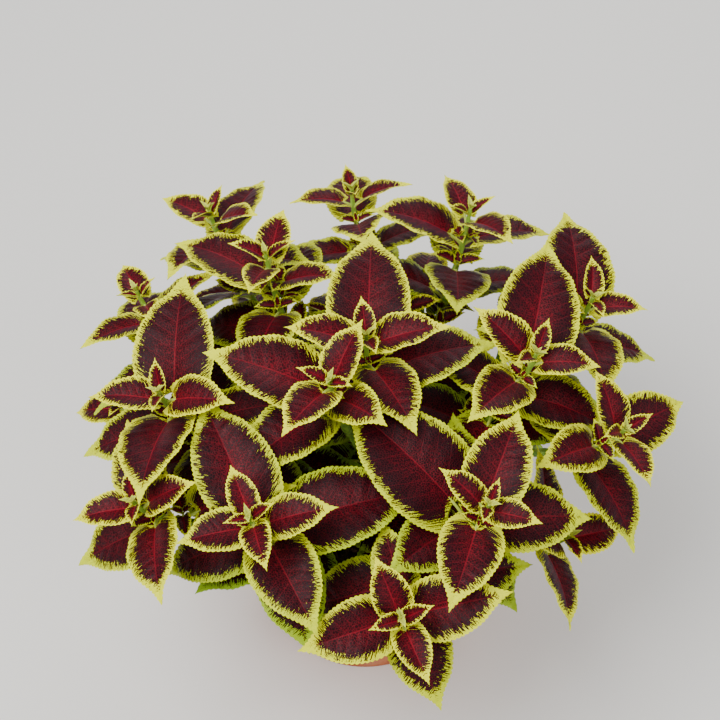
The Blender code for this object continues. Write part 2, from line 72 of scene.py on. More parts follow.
# The layout of stalks and leaves, which repeats the solids' own
POT_HEIGHT = 150 * MM
POT_BODY_RADIUS = 97 * MM
RIM_RADIUS = 105 * MM
POT_SIDES = 36
SOIL_TOP = 136 * MM
SOIL_CROWN = 5 * MM
SOIL_CLEAR = 144 * MM
HOLE_DEPTH = 42 * MM
STALK_RADIUS = 4.2 * MM
BRANCH_RADIUS = 3.3 * MM
TIP_RADIUS = 1.3 * MM
THINNING = 1.5
STALK_RINGS = 9
COLLAR = 4 * MM
FOOT_SPREAD = 0.36
FOOT_SPLAY = 0.5
STALK_HANDLES = (0.35, 0.42)
BRANCH_RING = 3
BRANCH_SPLAY = 0.3
BRANCH_HANDLES = (0.25, 0.4)
LIGHT_LEAN = math.radians(4)
OUTWARD_LEAN = math.radians(15)
MOST_REACH = 190 * MM
LEVEL_DROP = 60 * MM
LEAN_STEP = 8 * MM
PAIR_DROP = tuple(drop * MM for drop in (2, 7, 16, 34, 56, 80, 104, 128, 150, 172))
PAIR_RISE = (64, 46, 32, 26, 19, 10, 4, 0, 0, 12)
PAIR_BEND = (24, 32, 36, 38, 40, 42, 44, 44, 40, 44)
PAIR_FOLD = (34, 24, 15, 10, 7, 5, 5, 5, 5, 5)
PAIR_TEETH = (1, 2, 4, 4, 4, 3, 3, 3, 3, 3)
BUD_LENGTH = 13
LOW_LENGTHS = (88, 84, 78, 70, 68)
SLENDER, BROAD = 0.34, 0.66
BROAD_FROM = 50 * MM
PETIOLE_LEAST = 1.5 * MM
PETIOLE_SHARE = 0.14
PETIOLE_WIDTH = 1.25 * MM
PETIOLE_CURL = math.radians(24)
PETIOLE_RINGS = (0.0, 1.0)
RIB_THICKNESS = 1.5 * MM
TIP_THICKNESS_SHARE = 0.5
FULL_THICKNESS_FROM = 40 * MM
BUD_THICKNESS_SHARE = 0.4
TOOTH = 0.014
TOOTHLESS_ENDS = (5, 4)
BASE_LOBE = 0.19
LOBE_FADE = 4
WIDEST_A, WIDEST_B = 0.52, 1.12
TIP_FROM, TIP_TO, TIP_DRAWN = 0.62, 0.96, 0.42
WAY_DRAW, RISE_DRAW, BEND_DRAW, FOLD_DRAW, ROLL_DRAW = 3, 4, 8, 3, 7
LENGTH_DRAW, WIDTH_DRAW = 0.03, 0.06
SIZE_STEPS = (1.0, 0.9, 0.8, 0.7, 0.6)
TURN_STEPS = (0, 8, -8, 16, -16)
RISE_STEPS = (0, -6, 6, -12, 12, -18, 18, -26, 26)
CLEAR_AROUND = 1.1 * MM
YOUNGEST_RANKS = 2

# The side shoots in the angles of the leaf stalks: lengths in mm, angles in degrees
SIDE_SHOOTS_FROM = 3
SIDE_SHOOT_SIZES = (1.3, 1.0, 0.75, 0.5)
SIDE_CLEARANCE = 0.4 * MM
SIDE_SLOPES = (52, 64)
SIDE_TURN_DRAW = 14
SIDE_FOOT = 1.5
SIDE_REACH, SIDE_REACH_GAIN = 5.0, 1.8
SIDE_LENGTH, SIDE_LENGTH_GAIN = 13.0, 3.4
SIDE_LENGTH_DRAWS = (0.85, 1.15)
SIDE_PAIRS = ((1.0, 30), (0.55, 58))
SIDE_WAY_DRAW, SIDE_RISE_DRAW = 10, 8
SIDE_STEPS = 4

# Young leaves on the side shoots and at the growing tips
SMALL_BROAD_FROM = 16.0
SMALL_BEND, SMALL_FOLD = 34, 26
SMALL_BLADE, SMALL_PETIOLE = 0.86, 0.14
SMALL_WIDTH, SMALL_WIDTH_GAIN = 0.34, 0.2
SMALL_TEETH = 2
TIP_PAIRS = ((7.0, 70), (4.5, 78))
TIP_WAY, TIP_WAY_DRAW = 45, 8
TIP_LEAF_DROP, TIP_LEAN_DROP = 0.2 * MM, 0.5 * MM
TIP_AGE = 0.02

# Where soft noise turns from one tone to the other
TONES = (0.35, 0.7)

# The tubes, the hairs and the grains
CORNER_SWELL, SIDE_SHRINK = 4.0, 0.7
HAIR_DENSITY = 42000.0
HAIR_LENGTH = 1.1 * MM
HAIR_THICKNESS = 0.07 * MM
HAIR_SIZES = (0.5, 1.2)
LEVEL_ENOUGH = 0.5

# What separates the stages of a leaf
BUD_BLADE = 16 * MM
YOUNG_BLADE = 44 * MM
LAST_GROWN_RANK = 5
OLDEST_RANK = 9


@dataclass(frozen=True)
class Shoot:
    """A growing tip in mm, with the pairs of leaves below it.

    A leaf is its length in mm with its petiole, and the way it points in degrees round from +X. A third
    number is the rise of a leaf that stands steeper or flatter than its pair's usual rise. More pairs
    follow lower down, as many as low says, each at right angles to the one above it. Close draws the
    pairs together. An under shoot fills the room below the others: its leaves give way to all of theirs.
    """

    tip: tuple[float, float, float]
    pairs: tuple
    low: int = 0
    close: float = 1.0
    under: bool = False


# Each stem has its main shoot first, then its side branches
STEMS = {
    "stem_centre": (
        Shoot((1, 2, 330), (
            ((34, 95), (30, -72)), ((62, 178), (62, 6)), ((106, 88, 34), (76, -62, 25)),
            ((100, 8, 26), (88, 184)),
        ), low=5),
        Shoot((-24, -35, 328), (
            ((28, 168), (24, -32)), ((54, 60), (60, -122)), ((98, 160), (60, -42)), ((84, 66), (96, -141)),
            ((92, 0, 16), (66, 182)),
        ), close=0.8),
        Shoot((-26, 100, 238), (
            ((28, 12), (28, 188)), ((56, 96), (50, -80)), ((76, 10), (70, 186)),
        ), under=True),
    ),
    "stem_left": (
        Shoot((-142, -28, 306), (
            ((29, 95), (26, -95)), ((60, -16), (56, 176)), ((106, 82, 30), (98, -96)), ((84, 4), (90, 184)),
        ), low=5),
        Shoot((-166, 73, 294), (
            ((20, 30), (20, -150)), ((46, 112), (40, -62)), ((62, 28), (62, -150)),
        ), low=2),
        Shoot((-178, 20, 232), (
            ((26, 70), (26, -110)), ((54, 160), (44, -20)), ((70, 80), (66, -100)),
        ), under=True),
    ),
    "stem_back_left": (
        Shoot((-72, 90, 315), (
            ((33, 174), (28, 12)), ((54, 75), (50, -104)), ((90, 150, 30), (62, -14)), ((84, 74), (80, -104)),
        ), low=5),
        Shoot((-118, 158, 288), (
            ((28, 60), (28, -120)), ((52, 150), (52, -30)), ((84, 66), (76, -116)), ((80, 150), (80, -30)),
        ), low=1),
        Shoot((-92, 132, 236), (
            ((30, 100), (30, -80)), ((60, 12), (56, 190)), ((78, 98), (72, -82)),
        ), under=True),
    ),
    "stem_back": (
        Shoot((79, 148, 301), (
            ((26, 24), (24, -156)), ((50, 114), (58, -60)), ((76, 10), (84, 178)), ((80, 86), (90, -92, 22)),
        ), low=5),
        Shoot((-10, 176, 292), (
            ((28, 100), (28, -80)), ((52, 10), (52, -170)), ((80, 98), (76, -84)), ((78, 8), (78, -172)),
        ), low=1),
        Shoot((28, 92, 264), (((16, 80), (16, -100)), ((36, 176), (32, 4)), ((46, 88), (40, -88)))),
        Shoot((46, 140, 236), (
            ((30, 170), (30, -10)), ((60, 84), (56, -96)), ((78, 176), (74, -4)),
        ), under=True),
    ),
    "stem_right": (
        Shoot((119, -1, 314), (
            ((31, 74), (30, -134)), ((60, 146), (52, -7)), ((112, 83, 32), (80, -130)),
            ((84, 160), (84, -14)),
        ), low=5),
        Shoot((180, -44, 284), (
            ((28, 30), (28, -150)), ((52, 118), (50, -66)), ((78, 32), (70, -148)),
        ), low=1),
    ),
    "stem_back_right": (
        Shoot((165, 64, 297), (
            ((37, 98), (28, -82)), ((44, 176), (48, -4)), ((106, 99, 34), (84, -82)), ((84, 6), (78, -172)),
        ), low=5),
        Shoot((122, 122, 240), (
            ((30, 60), (30, -120)), ((60, 148), (56, -32)), ((78, 62), (72, -118)),
        ), under=True),
    ),
    "stem_front_right": (
        Shoot((82, -121, 306), (
            ((22, 72), (22, -108)), ((46, 148), (42, -20)), ((84, 71), (80, -110)), ((126, 139, 15), (92, 4)),
        ), low=5),
        Shoot((24, -184, 266), (
            ((28, 20), (28, -160)), ((50, 112), (52, -68)), ((80, 14), (78, -164)), ((60, 104), (80, -76)),
        ), low=1),
        Shoot((142, -96, 230), (
            ((28, 110), (28, -70)), ((56, 20), (54, 200)), ((72, 106), (72, -74)),
        ), under=True),
    ),
    "stem_front_left": (
        Shoot((-76, -130, 305), (
            ((24, 16), (22, -164)), ((42, 109), (44, -72)), ((60, 6), (58, -168)),
            ((106, 114, 24), (88, -66)), ((112, 14), (92, -168)),
        ), low=4, close=0.8),
        Shoot((-156, -104, 284), (
            ((28, 96), (28, -84)), ((50, 6), (50, -174)), ((78, 100), (76, -82)),
        ), low=1),
    ),
}


@dataclass(frozen=True)
class Route:
    """A stalk's centre line, from its foot to its growing tip."""

    places: np.ndarray
    foot_radius: float

    def lengths(self) -> np.ndarray:
        """The distance along the line to each of its points."""
        steps = np.linalg.norm(np.diff(self.places, axis=0), axis=1)
        return np.concatenate([[0.0], np.cumsum(steps)])

    def below_tip(self, drop: float) -> Vector:
        """The point this far below the tip.

        Args:
            drop: How far, along the stalk.

        Returns:
            The point.
        """
        lengths = self.lengths()
        at = lengths[-1] - drop
        return Vector([np.interp(at, lengths, self.places[:, k]) for k in range(3)])

    def lean(self, drop: float) -> Vector:
        """The way that leaves face here: along the stalk at its tip, and more upright lower down."""
        along = (self.below_tip(drop) - self.below_tip(drop + LEAN_STEP)).normalized()
        return (along + Vector((0.0, 0.0, drop / LEVEL_DROP))).normalized()

    def radius(self, share: float) -> float:
        """The stalk's radius at a share of its length, which thins towards the tip."""
        return self.foot_radius + (TIP_RADIUS - self.foot_radius) * share**THINNING


def soil_height(radius: float) -> float:
    """The height of the soil's surface, a low crown in the middle."""
    return SOIL_TOP + SOIL_CROWN * (1 - (radius / POT_BODY_RADIUS) ** 2)


def tip_lean(tip: Vector) -> Vector:
    """The direction that a shoot ends in: up, outwards, and towards the light."""
    out = math.tan(OUTWARD_LEAN) / MOST_REACH
    return Vector((tip.x * out, tip.y * out - math.tan(LIGHT_LEAN), 1.0)).normalized()


def bezier(start: Vector, leave: Vector, arrive: Vector, end: Vector, count: int) -> np.ndarray:
    """Points on a cubic curve.

    Args:
        start: The first point.
        leave: The handle that the curve leaves along.
        arrive: The handle that it arrives along.
        end: The last point.
        count: How many points.

    Returns:
        The points, one to a row.
    """
    shares = np.linspace(0.0, 1.0, count)[:, None]
    rest = 1 - shares
    curve = rest**3 * np.array(start) + 3 * rest**2 * shares * np.array(leave)
    return curve + 3 * rest * shares**2 * np.array(arrive) + shares**3 * np.array(end)


def trunk_route(shoot: Shoot, rings: int) -> Route:
    """The main stalk: straight up out of its hole, then over to its tip.

    Args:
        shoot: The stem's first shoot.
        rings: How many points its curve has.

    Returns:
        The stalk's route.
    """
    tip = Vector(shoot.tip) * MM
    across = Vector((tip.x, tip.y, 0.0)) * FOOT_SPREAD
    foot = across + Vector((0.0, 0.0, SOIL_TOP - HOLE_DEPTH))
    collar = across + Vector((0.0, 0.0, soil_height(across.length) + COLLAR))
    reach = (tip - collar).length
    leave = collar + across * FOOT_SPLAY + Vector((0.0, 0.0, reach * STALK_HANDLES[0]))
    arrive = tip - tip_lean(tip) * reach * STALK_HANDLES[1]
    curve = bezier(collar, leave, arrive, tip, rings)
    return Route(np.vstack([np.array(foot), curve]), STALK_RADIUS)


def branch_route(shoot: Shoot, start: Vector, rings: int) -> Route:
    """A side branch, which leaves the main stalk low down.

    Args:
        shoot: The branch's shoot.
        start: Where it leaves the main stalk.
        rings: How many points its curve has.

    Returns:
        The branch's route.
    """
    tip = Vector(shoot.tip) * MM
    reach = (tip - start).length
    across = Vector((tip.x - start.x, tip.y - start.y, 0.0))
    leave = start + across * BRANCH_SPLAY + Vector((0.0, 0.0, reach * BRANCH_HANDLES[0]))
    arrive = tip - tip_lean(tip) * reach * BRANCH_HANDLES[1]
    return Route(bezier(start, leave, arrive, tip, rings), BRANCH_RADIUS)


def tube_faces(rings: int) -> list[tuple[int, ...]]:
    """The faces of a tube of four-cornered rings, closed at its first ring.

    Args:
        rings: How many rings it has.

    Returns:
        The faces, as numbers of points.
    """
    faces = [(3, 2, 1, 0)]
    for ring in range(rings - 1):
        for k in range(4):
            low, after = ring * 4 + k, ring * 4 + (k + 1) % 4
            faces.append((low, after, after + 4, low + 4))
    return faces


def coarse_stalk(route: Route, grow: float) -> tuple[list, list]:
    """The solid's square stalk, grown by a margin, for finding room.

    Args:
        route: The stalk's route.
        grow: The margin.

    Returns:
        Points and faces.
    """
    places = route.places
    lengths = route.lengths()
    points = []
    side = np.array((1.0, 0.0, 0.0))
    for k, place in enumerate(places):
        ahead = places[min(k + 1, len(places) - 1)] - places[max(k - 1, 0)]
        ahead = ahead / np.linalg.norm(ahead)
        side = side - ahead * (side @ ahead)
        side = side / np.linalg.norm(side)
        across = np.cross(ahead, side)
        radius = route.radius(lengths[k] / lengths[-1]) + grow
        for way in (side, across, -side, -across):
            points.append(place + way * radius)
    top = (len(places) - 1) * 4
    return points, [*tube_faces(len(places)), (top, top + 1, top + 2, top + 3)]


def upright_to(lean: Vector, way: float) -> Matrix:
    """The turn that takes a leaf from the plan to its stalk: round to its way, then over by the lean."""
    return UP.rotation_difference(lean).to_matrix() @ Matrix.Rotation(way, 3, "Z")


@dataclass(frozen=True)
class Leaf:
    """One leaf. Its way is an angle round the stalk, and its rise is the slope of the blade's base."""

    root: Vector
    lean: Vector
    way: float
    rise: float
    bend: float
    fold: float
    roll: float
    length: float
    width: float
    petiole: float
    teeth: int

    def petiole_line(self, shares: np.ndarray | float) -> tuple:
        """The petiole, an arc that levels off into the blade.

        Args:
            shares: Shares of the petiole from the stalk.

        Returns:
            Distances out and up from the stalk, and slopes.
        """
        steep = self.rise + PETIOLE_CURL
        slope = steep - PETIOLE_CURL * shares
        radius = self.petiole / PETIOLE_CURL
        return radius * (np.sin(steep) - np.sin(slope)), radius * (np.cos(slope) - np.cos(steep)), slope

    def rib_line(self, shares: np.ndarray | float) -> tuple:
        """The rib, an arc that bends down from the blade's base.

        Args:
            shares: Shares of the blade from its base.

        Returns:
            Distances out and up from the stalk, and slopes.
        """
        out, up, _ = self.petiole_line(1.0)
        slope = self.rise - self.bend * shares
        radius = self.length / self.bend
        out = out + radius * (np.sin(self.rise) - np.sin(slope))
        return out, up + radius * (np.cos(slope) - np.cos(self.rise)), slope

    def place(self, line: tuple, across: np.ndarray | float, lift: np.ndarray | float) -> np.ndarray:
        """World points off the petiole or the rib.

        Args:
            line: What petiole_line or rib_line gave.
            across: Distances across the leaf.
            lift: Distances off its face.

        Returns:
            The points, one to a row.
        """
        out, up, slope = line
        aside = across * math.cos(self.roll) - lift * math.sin(self.roll)
        lift = across * math.sin(self.roll) + lift * math.cos(self.roll)
        local = np.broadcast_arrays(out - lift * np.sin(slope), aside, up + lift * np.cos(slope))
        turn = np.array(upright_to(self.lean, self.way))
        return np.stack(local, axis=-1) @ turn.T + np.array(self.root)

    def half_width(self, shares: np.ndarray) -> np.ndarray:
        """Half the blade's width, without its teeth: an egg shape that draws out into a point.

        Args:
            shares: Shares of the blade from its base.

        Returns:
            The half width at each of them.
        """
        widest = WIDEST_A / (WIDEST_A + WIDEST_B)
        most = widest**WIDEST_A * (1 - widest) ** WIDEST_B
        tip = np.clip((shares - TIP_FROM) / (TIP_TO - TIP_FROM), 0.0, 1.0)
        drawn = 1 - TIP_DRAWN * tip**2 * (3 - 2 * tip)
        return self.width / 2 * shares**WIDEST_A * (1 - shares) ** WIDEST_B / most * drawn

    def swept(self, shares: np.ndarray) -> np.ndarray:
        """Where along the rib the margin lies: swept back near the base, into lobes on a broad leaf."""
        lobe = BASE_LOBE * (self.width / self.length / BROAD) ** 2
        return shares - lobe * (1 - shares) ** LOBE_FADE


def coarse_blade(leaf: Leaf, grow: float) -> tuple[list, list]:
    """The solid's petiole and toothed blade, grown by a margin, for finding room.

    Args:
        leaf: The leaf.
        grow: The margin.

    Returns:
        Points and faces.
    """
    small = min(1.0, leaf.length / FULL_THICKNESS_FROM)
    small = BUD_THICKNESS_SHARE + (1 - BUD_THICKNESS_SHARE) * small
    wide, thick = (PETIOLE_WIDTH + grow) * small, (RIB_THICKNESS / 2 + grow) * small
    corners = ((wide, 0.0), (0.0, thick), (-wide, 0.0), (0.0, -thick))
    points = []
    for share in PETIOLE_RINGS:
        points += [leaf.place(leaf.petiole_line(share), *corner) for corner in corners]
    faces = tube_faces(len(PETIOLE_RINGS))
    base, first = len(points) - 4, len(points)
    count = 2 * leaf.teeth

    shares = np.arange(1, count) / count
    crest = np.where(np.arange(1, count) % 2 == 1, 1.0, -1.0)
    fade = np.minimum(1.0, np.minimum(TOOTHLESS_ENDS[0] * shares, TOOTHLESS_ENDS[1] * (1 - shares)))
    half = leaf.half_width(shares) + TOOTH * leaf.length * crest * fade + grow
    line = leaf.rib_line(leaf.swept(shares))
    for side in (1, -1):
        points += list(leaf.place(line, side * half * math.cos(leaf.fold), half * math.sin(leaf.fold)))

    shares = np.arange(2, count, 2) / count
    lift = thick * (1 - (1 - TIP_THICKNESS_SHARE) * shares)
    for side in (1, -1):
        points += list(leaf.place(leaf.rib_line(shares), 0.0, side * lift))
    points.append(leaf.place(leaf.rib_line(1.0 + grow / leaf.length), 0.0, 0.0))
    tip = len(points) - 1

    margin, rib = count - 1, leaf.teeth - 1
    left = [base, *range(first, first + margin), tip]
    right = [base + 2, *range(first + margin, first + 2 * margin), tip]
    above = [base + 1, *range(tip - 2 * rib, tip - rib), tip]
    below = [base + 3, *range(tip - rib, tip), tip]
    for edge, middle in itertools.product((left, right), (above, below)):
        faces += web_faces(edge, middle)
    return points, faces


def web_faces(edge: list[int], middle: list[int]) -> list[tuple[int, ...]]:
    """Triangles between a margin and a rib, which has a point for every second one of the margin.

    Args:
        edge: The numbers of the margin's points, from the base to the tip.
        middle: The numbers of the rib's points.

    Returns:
        The triangles.
    """
    faces = []
    for tooth in range(len(middle) - 1):
        near, far = middle[tooth : tooth + 2]
        before, crest, after = edge[2 * tooth : 2 * tooth + 3]
        faces += [(near, before, crest), (near, crest, far)]
        if far != after:
            faces.append((far, crest, after))
    return faces


def shape_of(points: list, faces: list) -> Shape:
    """A search tree over a shape, and its lowest and highest corners."""
    points = np.array(points)
    return BVHTree.FromPolygons([Vector(p) for p in points], faces), points.min(axis=0), points.max(axis=0)


def apart(one: Shape, other: Shape) -> bool:
    """Whether two shapes are clear of each other."""
    boxes_meet = (one[1] <= other[2]).all() and (other[1] <= one[2]).all()
    return not (boxes_meet and one[0].overlap(other[0]))


def drum(outline: list[tuple[float, float]], sides: int) -> tuple[list, list]:
    """A turned shape, from an outline that starts and ends on the axis.

    Args:
        outline: Points as (radius, height).
        sides: How many sides the shape has.

    Returns:
        Points and faces.
    """
    points = [(0.0, 0.0, outline[0][1])]
    for radius, height in outline[1:-1]:
        for k in range(sides):
            angle = 2 * math.pi * k / sides
            points.append((radius * math.cos(angle), radius * math.sin(angle), height))
    points.append((0.0, 0.0, outline[-1][1]))
    faces = []
    rings = len(outline) - 2
    for k in range(sides):
        after = (k + 1) % sides
        faces.append((0, 1 + after, 1 + k))
        for ring in range(rings - 1):
            low, high = 1 + ring * sides, 1 + (ring + 1) * sides
            faces.append((low + k, low + after, high + after, high + k))
        top = 1 + (rings - 1) * sides
        faces.append((len(points) - 1, top + k, top + after))
    return points, faces


class Thicket:
    """The room that the pot, the stalks and the leaves take up, to find where one more leaf fits."""

    def __init__(self, routes: dict[str, list[Route]]) -> None:
        """Starts with the stalks and the pot.

        Args:
            routes: The stalks' routes, by their stem's name.
        """
        self.stalks = {}
        for name, its in routes.items():
            for number, route in enumerate(its):
                self.stalks[name, number] = shape_of(*coarse_stalk(route, CLEAR_AROUND))
        edge, top = RIM_RADIUS + CLEAR_AROUND, POT_HEIGHT + CLEAR_AROUND
        self.pot = shape_of(*drum([(0.0, 0.0), (edge, 0.0), (edge, top), (0.0, SOIL_CLEAR)], POT_SIDES))
        self.leaves: list[tuple] = []

    def has_room(self, shoot: tuple[str, int], rank: int, shape: Shape) -> bool:
        """Whether a leaf is clear of everything but its own stalk and pair.

        The two youngest pairs may also meet the other leaves of their shoot.

        Args:
            shoot: The stem's name and the shoot's number.
            rank: Which pair down the shoot the leaf belongs to.
            shape: The leaf's shape.

        Returns:
            Whether it has room.
        """
        if not apart(shape, self.pot):
            return False
        if any(key != shoot and not apart(shape, stalk) for key, stalk in self.stalks.items()):
            return False
        for other_shoot, other_rank, other in self.leaves:
            meets = other_shoot == shoot and (rank < YOUNGEST_RANKS or other_rank == rank)
            if not meets and not apart(shape, other):
                return False
        return True

    def settle(self, shoot: tuple[str, int], rank: int, wish: Leaf) -> Leaf | None:
        """Puts a leaf in the first pose that has room.

        Args:
            shoot: The stem's name and the shoot's number.
            rank: Which pair down the shoot it belongs to.
            wish: The leaf as it would grow with nothing in its way.

        Returns:
            The leaf, or None where no pose has room.
        """
        for size, turn, rise in itertools.product(SIZE_STEPS, TURN_STEPS, RISE_STEPS):
            leaf = replace(
                wish,
                length=wish.length * size,
                width=wish.width * size,
                way=wish.way + math.radians(turn),
                rise=wish.rise + math.radians(rise),
            )
            shape = shape_of(*coarse_blade(leaf, CLEAR_AROUND))
            if self.has_room(shoot, rank, shape):
                self.leaves.append((shoot, rank, shape))
                return leaf
        return None


def across_from(pair: tuple, length: float) -> tuple:
    """A pair of leaves at right angles to another."""
    return tuple((length, way + 90) for _, way, *_ in pair)


def pair_plan(shoot: Shoot) -> list[tuple]:
    """The shoot's pairs of leaves from the top, the bud first.

    Args:
        shoot: The shoot.

    Returns:
        The pairs, each as the plans of two leaves.
    """
    pairs = [across_from(shoot.pairs[0], BUD_LENGTH), *shoot.pairs]
    for length in LOW_LENGTHS[: shoot.low]:
        pairs.append(across_from(pairs[-1], length))
    return pairs


def wanted_leaf(route: Route, drop: float, rank: int, plan: tuple, draw: random.Random) -> Leaf:
    """The leaf as it would grow with nothing in its way.

    Args:
        route: The stalk that it grows from.
        drop: How far below the tip.
        rank: Which pair down the shoot it belongs to.
        plan: Its length in mm, its way in degrees and, for some, its rise.
        draw: The leaf's own draws.

    Returns:
        The leaf.
    """
    length, way, *steep = plan
    rise = steep[0] if steep else PAIR_RISE[rank]
    full = length * MM * (1 + draw.uniform(-LENGTH_DRAW, LENGTH_DRAW))
    broad = min(1.0, full / BROAD_FROM)
    petiole = PETIOLE_LEAST + PETIOLE_SHARE * full * broad
    blade = full - petiole
    breadth = SLENDER + (BROAD - SLENDER) * broad
    return Leaf(
        root=route.below_tip(drop),
        lean=route.lean(drop),
        way=math.radians(way + draw.uniform(-WAY_DRAW, WAY_DRAW)),
        rise=math.radians(rise + draw.uniform(-RISE_DRAW, RISE_DRAW)),
        bend=math.radians(PAIR_BEND[rank] + draw.uniform(-BEND_DRAW, BEND_DRAW)),
        fold=math.radians(PAIR_FOLD[rank] + draw.uniform(-FOLD_DRAW, FOLD_DRAW)),
        roll=math.radians(draw.uniform(-ROLL_DRAW, ROLL_DRAW)),
        length=blade,
        width=blade * breadth * (1 + draw.uniform(-WIDTH_DRAW, WIDTH_DRAW)),
        petiole=petiole,
        teeth=PAIR_TEETH[rank],
    )


@dataclass(frozen=True)
class SideShoot:
    """A young shoot in the angle between a leaf stalk and its stalk: a short stem and two pairs of leaves."""

    path: np.ndarray
    leaves: tuple[Leaf, ...]

    @classmethod
    def beside(cls, leaf: Leaf, rank: int, size: float, draw: random.Random) -> SideShoot:
        """The side shoot of a leaf.

        Args:
            leaf: The leaf whose angle it grows in.
            rank: Which pair down the shoot the leaf belongs to.
            size: A share of its full size.
            draw: Its own draws.

        Returns:
            The side shoot.
        """
        slope = math.radians(draw.uniform(*SIDE_SLOPES))
        way = leaf.way + math.radians(draw.uniform(-SIDE_TURN_DRAW, SIDE_TURN_DRAW))
        along = upright_to(leaf.lean, way) @ Vector((math.cos(slope), 0.0, math.sin(slope)))
        start = leaf.root + leaf.lean * SIDE_FOOT * MM
        reach = (SIDE_REACH + SIDE_REACH_GAIN * (rank - SIDE_SHOOTS_FROM)) * size * MM
        end = start + along * reach
        lean = (along + leaf.lean).normalized()
        length = (SIDE_LENGTH + SIDE_LENGTH_GAIN * (rank - SIDE_SHOOTS_FROM)) * size
        length = length * draw.uniform(*SIDE_LENGTH_DRAWS)
        leaves = []
        for pair, (share, rise) in enumerate(SIDE_PAIRS):
            root = end - along * (1 - pair) * MM
            for side in (90, -90):
                its_way = math.degrees(way) + side + 90 * pair + draw.uniform(-SIDE_WAY_DRAW, SIDE_WAY_DRAW)
                its_rise = rise + draw.uniform(-SIDE_RISE_DRAW, SIDE_RISE_DRAW)
                leaves.append(small_leaf(root, lean, its_way, its_rise, length * share))
        path = np.array([start + (end - start) * k / SIDE_STEPS for k in range(SIDE_STEPS + 1)])
        return cls(path, tuple(leaves))


def small_leaf(root: Vector, lean: Vector, way: float, rise: float, length: float) -> Leaf:
    """A small young leaf.

    Args:
        root: Where it grows from.
        lean: The way that it faces.
        way: The angle that it points in, in degrees.
        rise: Its slope in degrees.
        length: Its length in mm.

    Returns:
        The leaf.
    """
    broad = min(1.0, length / SMALL_BROAD_FROM)
    return Leaf(
        root=root,
        lean=lean,
        way=math.radians(way),
        rise=math.radians(rise),
        bend=math.radians(SMALL_BEND),
        fold=math.radians(SMALL_FOLD),
        roll=0.0,
        length=length * MM * SMALL_BLADE,
        width=length * MM * (SMALL_WIDTH + SMALL_WIDTH_GAIN * broad),
        petiole=length * MM * SMALL_PETIOLE,
        teeth=SMALL_TEETH,
    )


@dataclass
class Layout:
    """Where every stalk, every leaf and every side shoot is."""

    routes: dict[str, list[Route]] = field(default_factory=dict)
    leaves: dict[str, list[tuple[int, int, Leaf]]] = field(default_factory=dict)
    side_shoots: dict[str, list[SideShoot]] = field(default_factory=dict)

    def grow(self) -> None:
        """Finds the stalks, then the leaves, the upper pairs first, which give way to those already there."""
        for name, (first, *others) in STEMS.items():
            trunk = trunk_route(first, STALK_RINGS)
            start = Vector(trunk.places[BRANCH_RING])
            self.routes[name] = [trunk, *(branch_route(shoot, start, STALK_RINGS) for shoot in others)]
            self.leaves[name] = []
        thicket = Thicket(self.routes)
        shoots = [(name, number, shoot) for name, its in STEMS.items() for number, shoot in enumerate(its)]
        turns = itertools.product((False, True), range(len(PAIR_DROP)), shoots)
        for under, rank, (name, number, shoot) in turns:
            pairs = pair_plan(shoot)
            if shoot.under != under or rank >= len(pairs):
                continue
            for side, plan in enumerate(pairs[rank]):
                draw = random.Random(f"{name} {number} {rank} {side}")
                drop = PAIR_DROP[rank] * shoot.close
                wish = wanted_leaf(self.routes[name][number], drop, rank, plan, draw)
                leaf = thicket.settle((name, number), rank, wish)
                if leaf:
                    self.leaves[name].append((number, rank, leaf))
        for name, its in self.leaves.items():
            self.side_shoots[name] = self.grow_side_shoots(thicket, name, its)

    def grow_side_shoots(self, thicket: Thicket, name: str, leaves: list) -> list[SideShoot]:
        """Puts a side shoot over each lower leaf's stalk, as large as there is room for.

        Args:
            thicket: What takes up room.
            name: The stem's name.
            leaves: The stem's leaves, with their shoots and ranks.

        Returns:
            The side shoots.
        """
        grown = []
        for count, (number, rank, leaf) in enumerate(leaves):
            if rank < SIDE_SHOOTS_FROM or leaf.length < YOUNG_BLADE / 2:
                continue
            for size in SIDE_SHOOT_SIZES:
                draw = random.Random(f"{name} side {count}")
                shoot = SideShoot.beside(leaf, rank, size, draw)
                shapes = [shape_of(*coarse_blade(young, SIDE_CLEARANCE)) for young in shoot.leaves[:2]]
                if all(thicket.has_room((name, number), rank, shape) for shape in shapes):
                    grown.append(shoot)
                    thicket.leaves += [((name, number), rank, shape) for shape in shapes]
                    break
        return grown


class LeafStage(Enum):
    """How far a leaf has grown."""

    BUD = "bud"
    YOUNG = "young"
    GROWN = "grown"
    OLD = "old"
    SIDE = "side"

    @classmethod
    def of(cls, rank: int, length: float) -> LeafStage:
        """The stage of a leaf.

        Args:
            rank: Which pair down the shoot it belongs to.
            length: Its blade's length.

        Returns:
            The stage.
        """
        if length < BUD_BLADE:
            return cls.BUD
        if length < YOUNG_BLADE:
            return cls.YOUNG
        return cls.GROWN if rank <= LAST_GROWN_RANK else cls.OLD


@dataclass(frozen=True)
class Fineness:
    """How finely a leaf is made: its teeth's pitch, the rows to a tooth, and the columns to each half."""

    pitch: float
    rows: int
    above: int
    below: int


FINENESS = {
    LeafStage.BUD: Fineness(2.2 * MM, 2, 3, 2),
    LeafStage.YOUNG: Fineness(2.7 * MM, 3, 6, 2),
    LeafStage.GROWN: Fineness(3.3 * MM, 3, 7, 3),
    LeafStage.OLD: Fineness(4.1 * MM, 2, 6, 2),
    LeafStage.SIDE: Fineness(2.6 * MM, 2, 4, 2),
}

# How far a tooth's rows stand out, by how many rows it has
TOOTH_PROFILES = {2: (-0.7, 0.7), 3: (-1.0, 0.35, 0.8)}


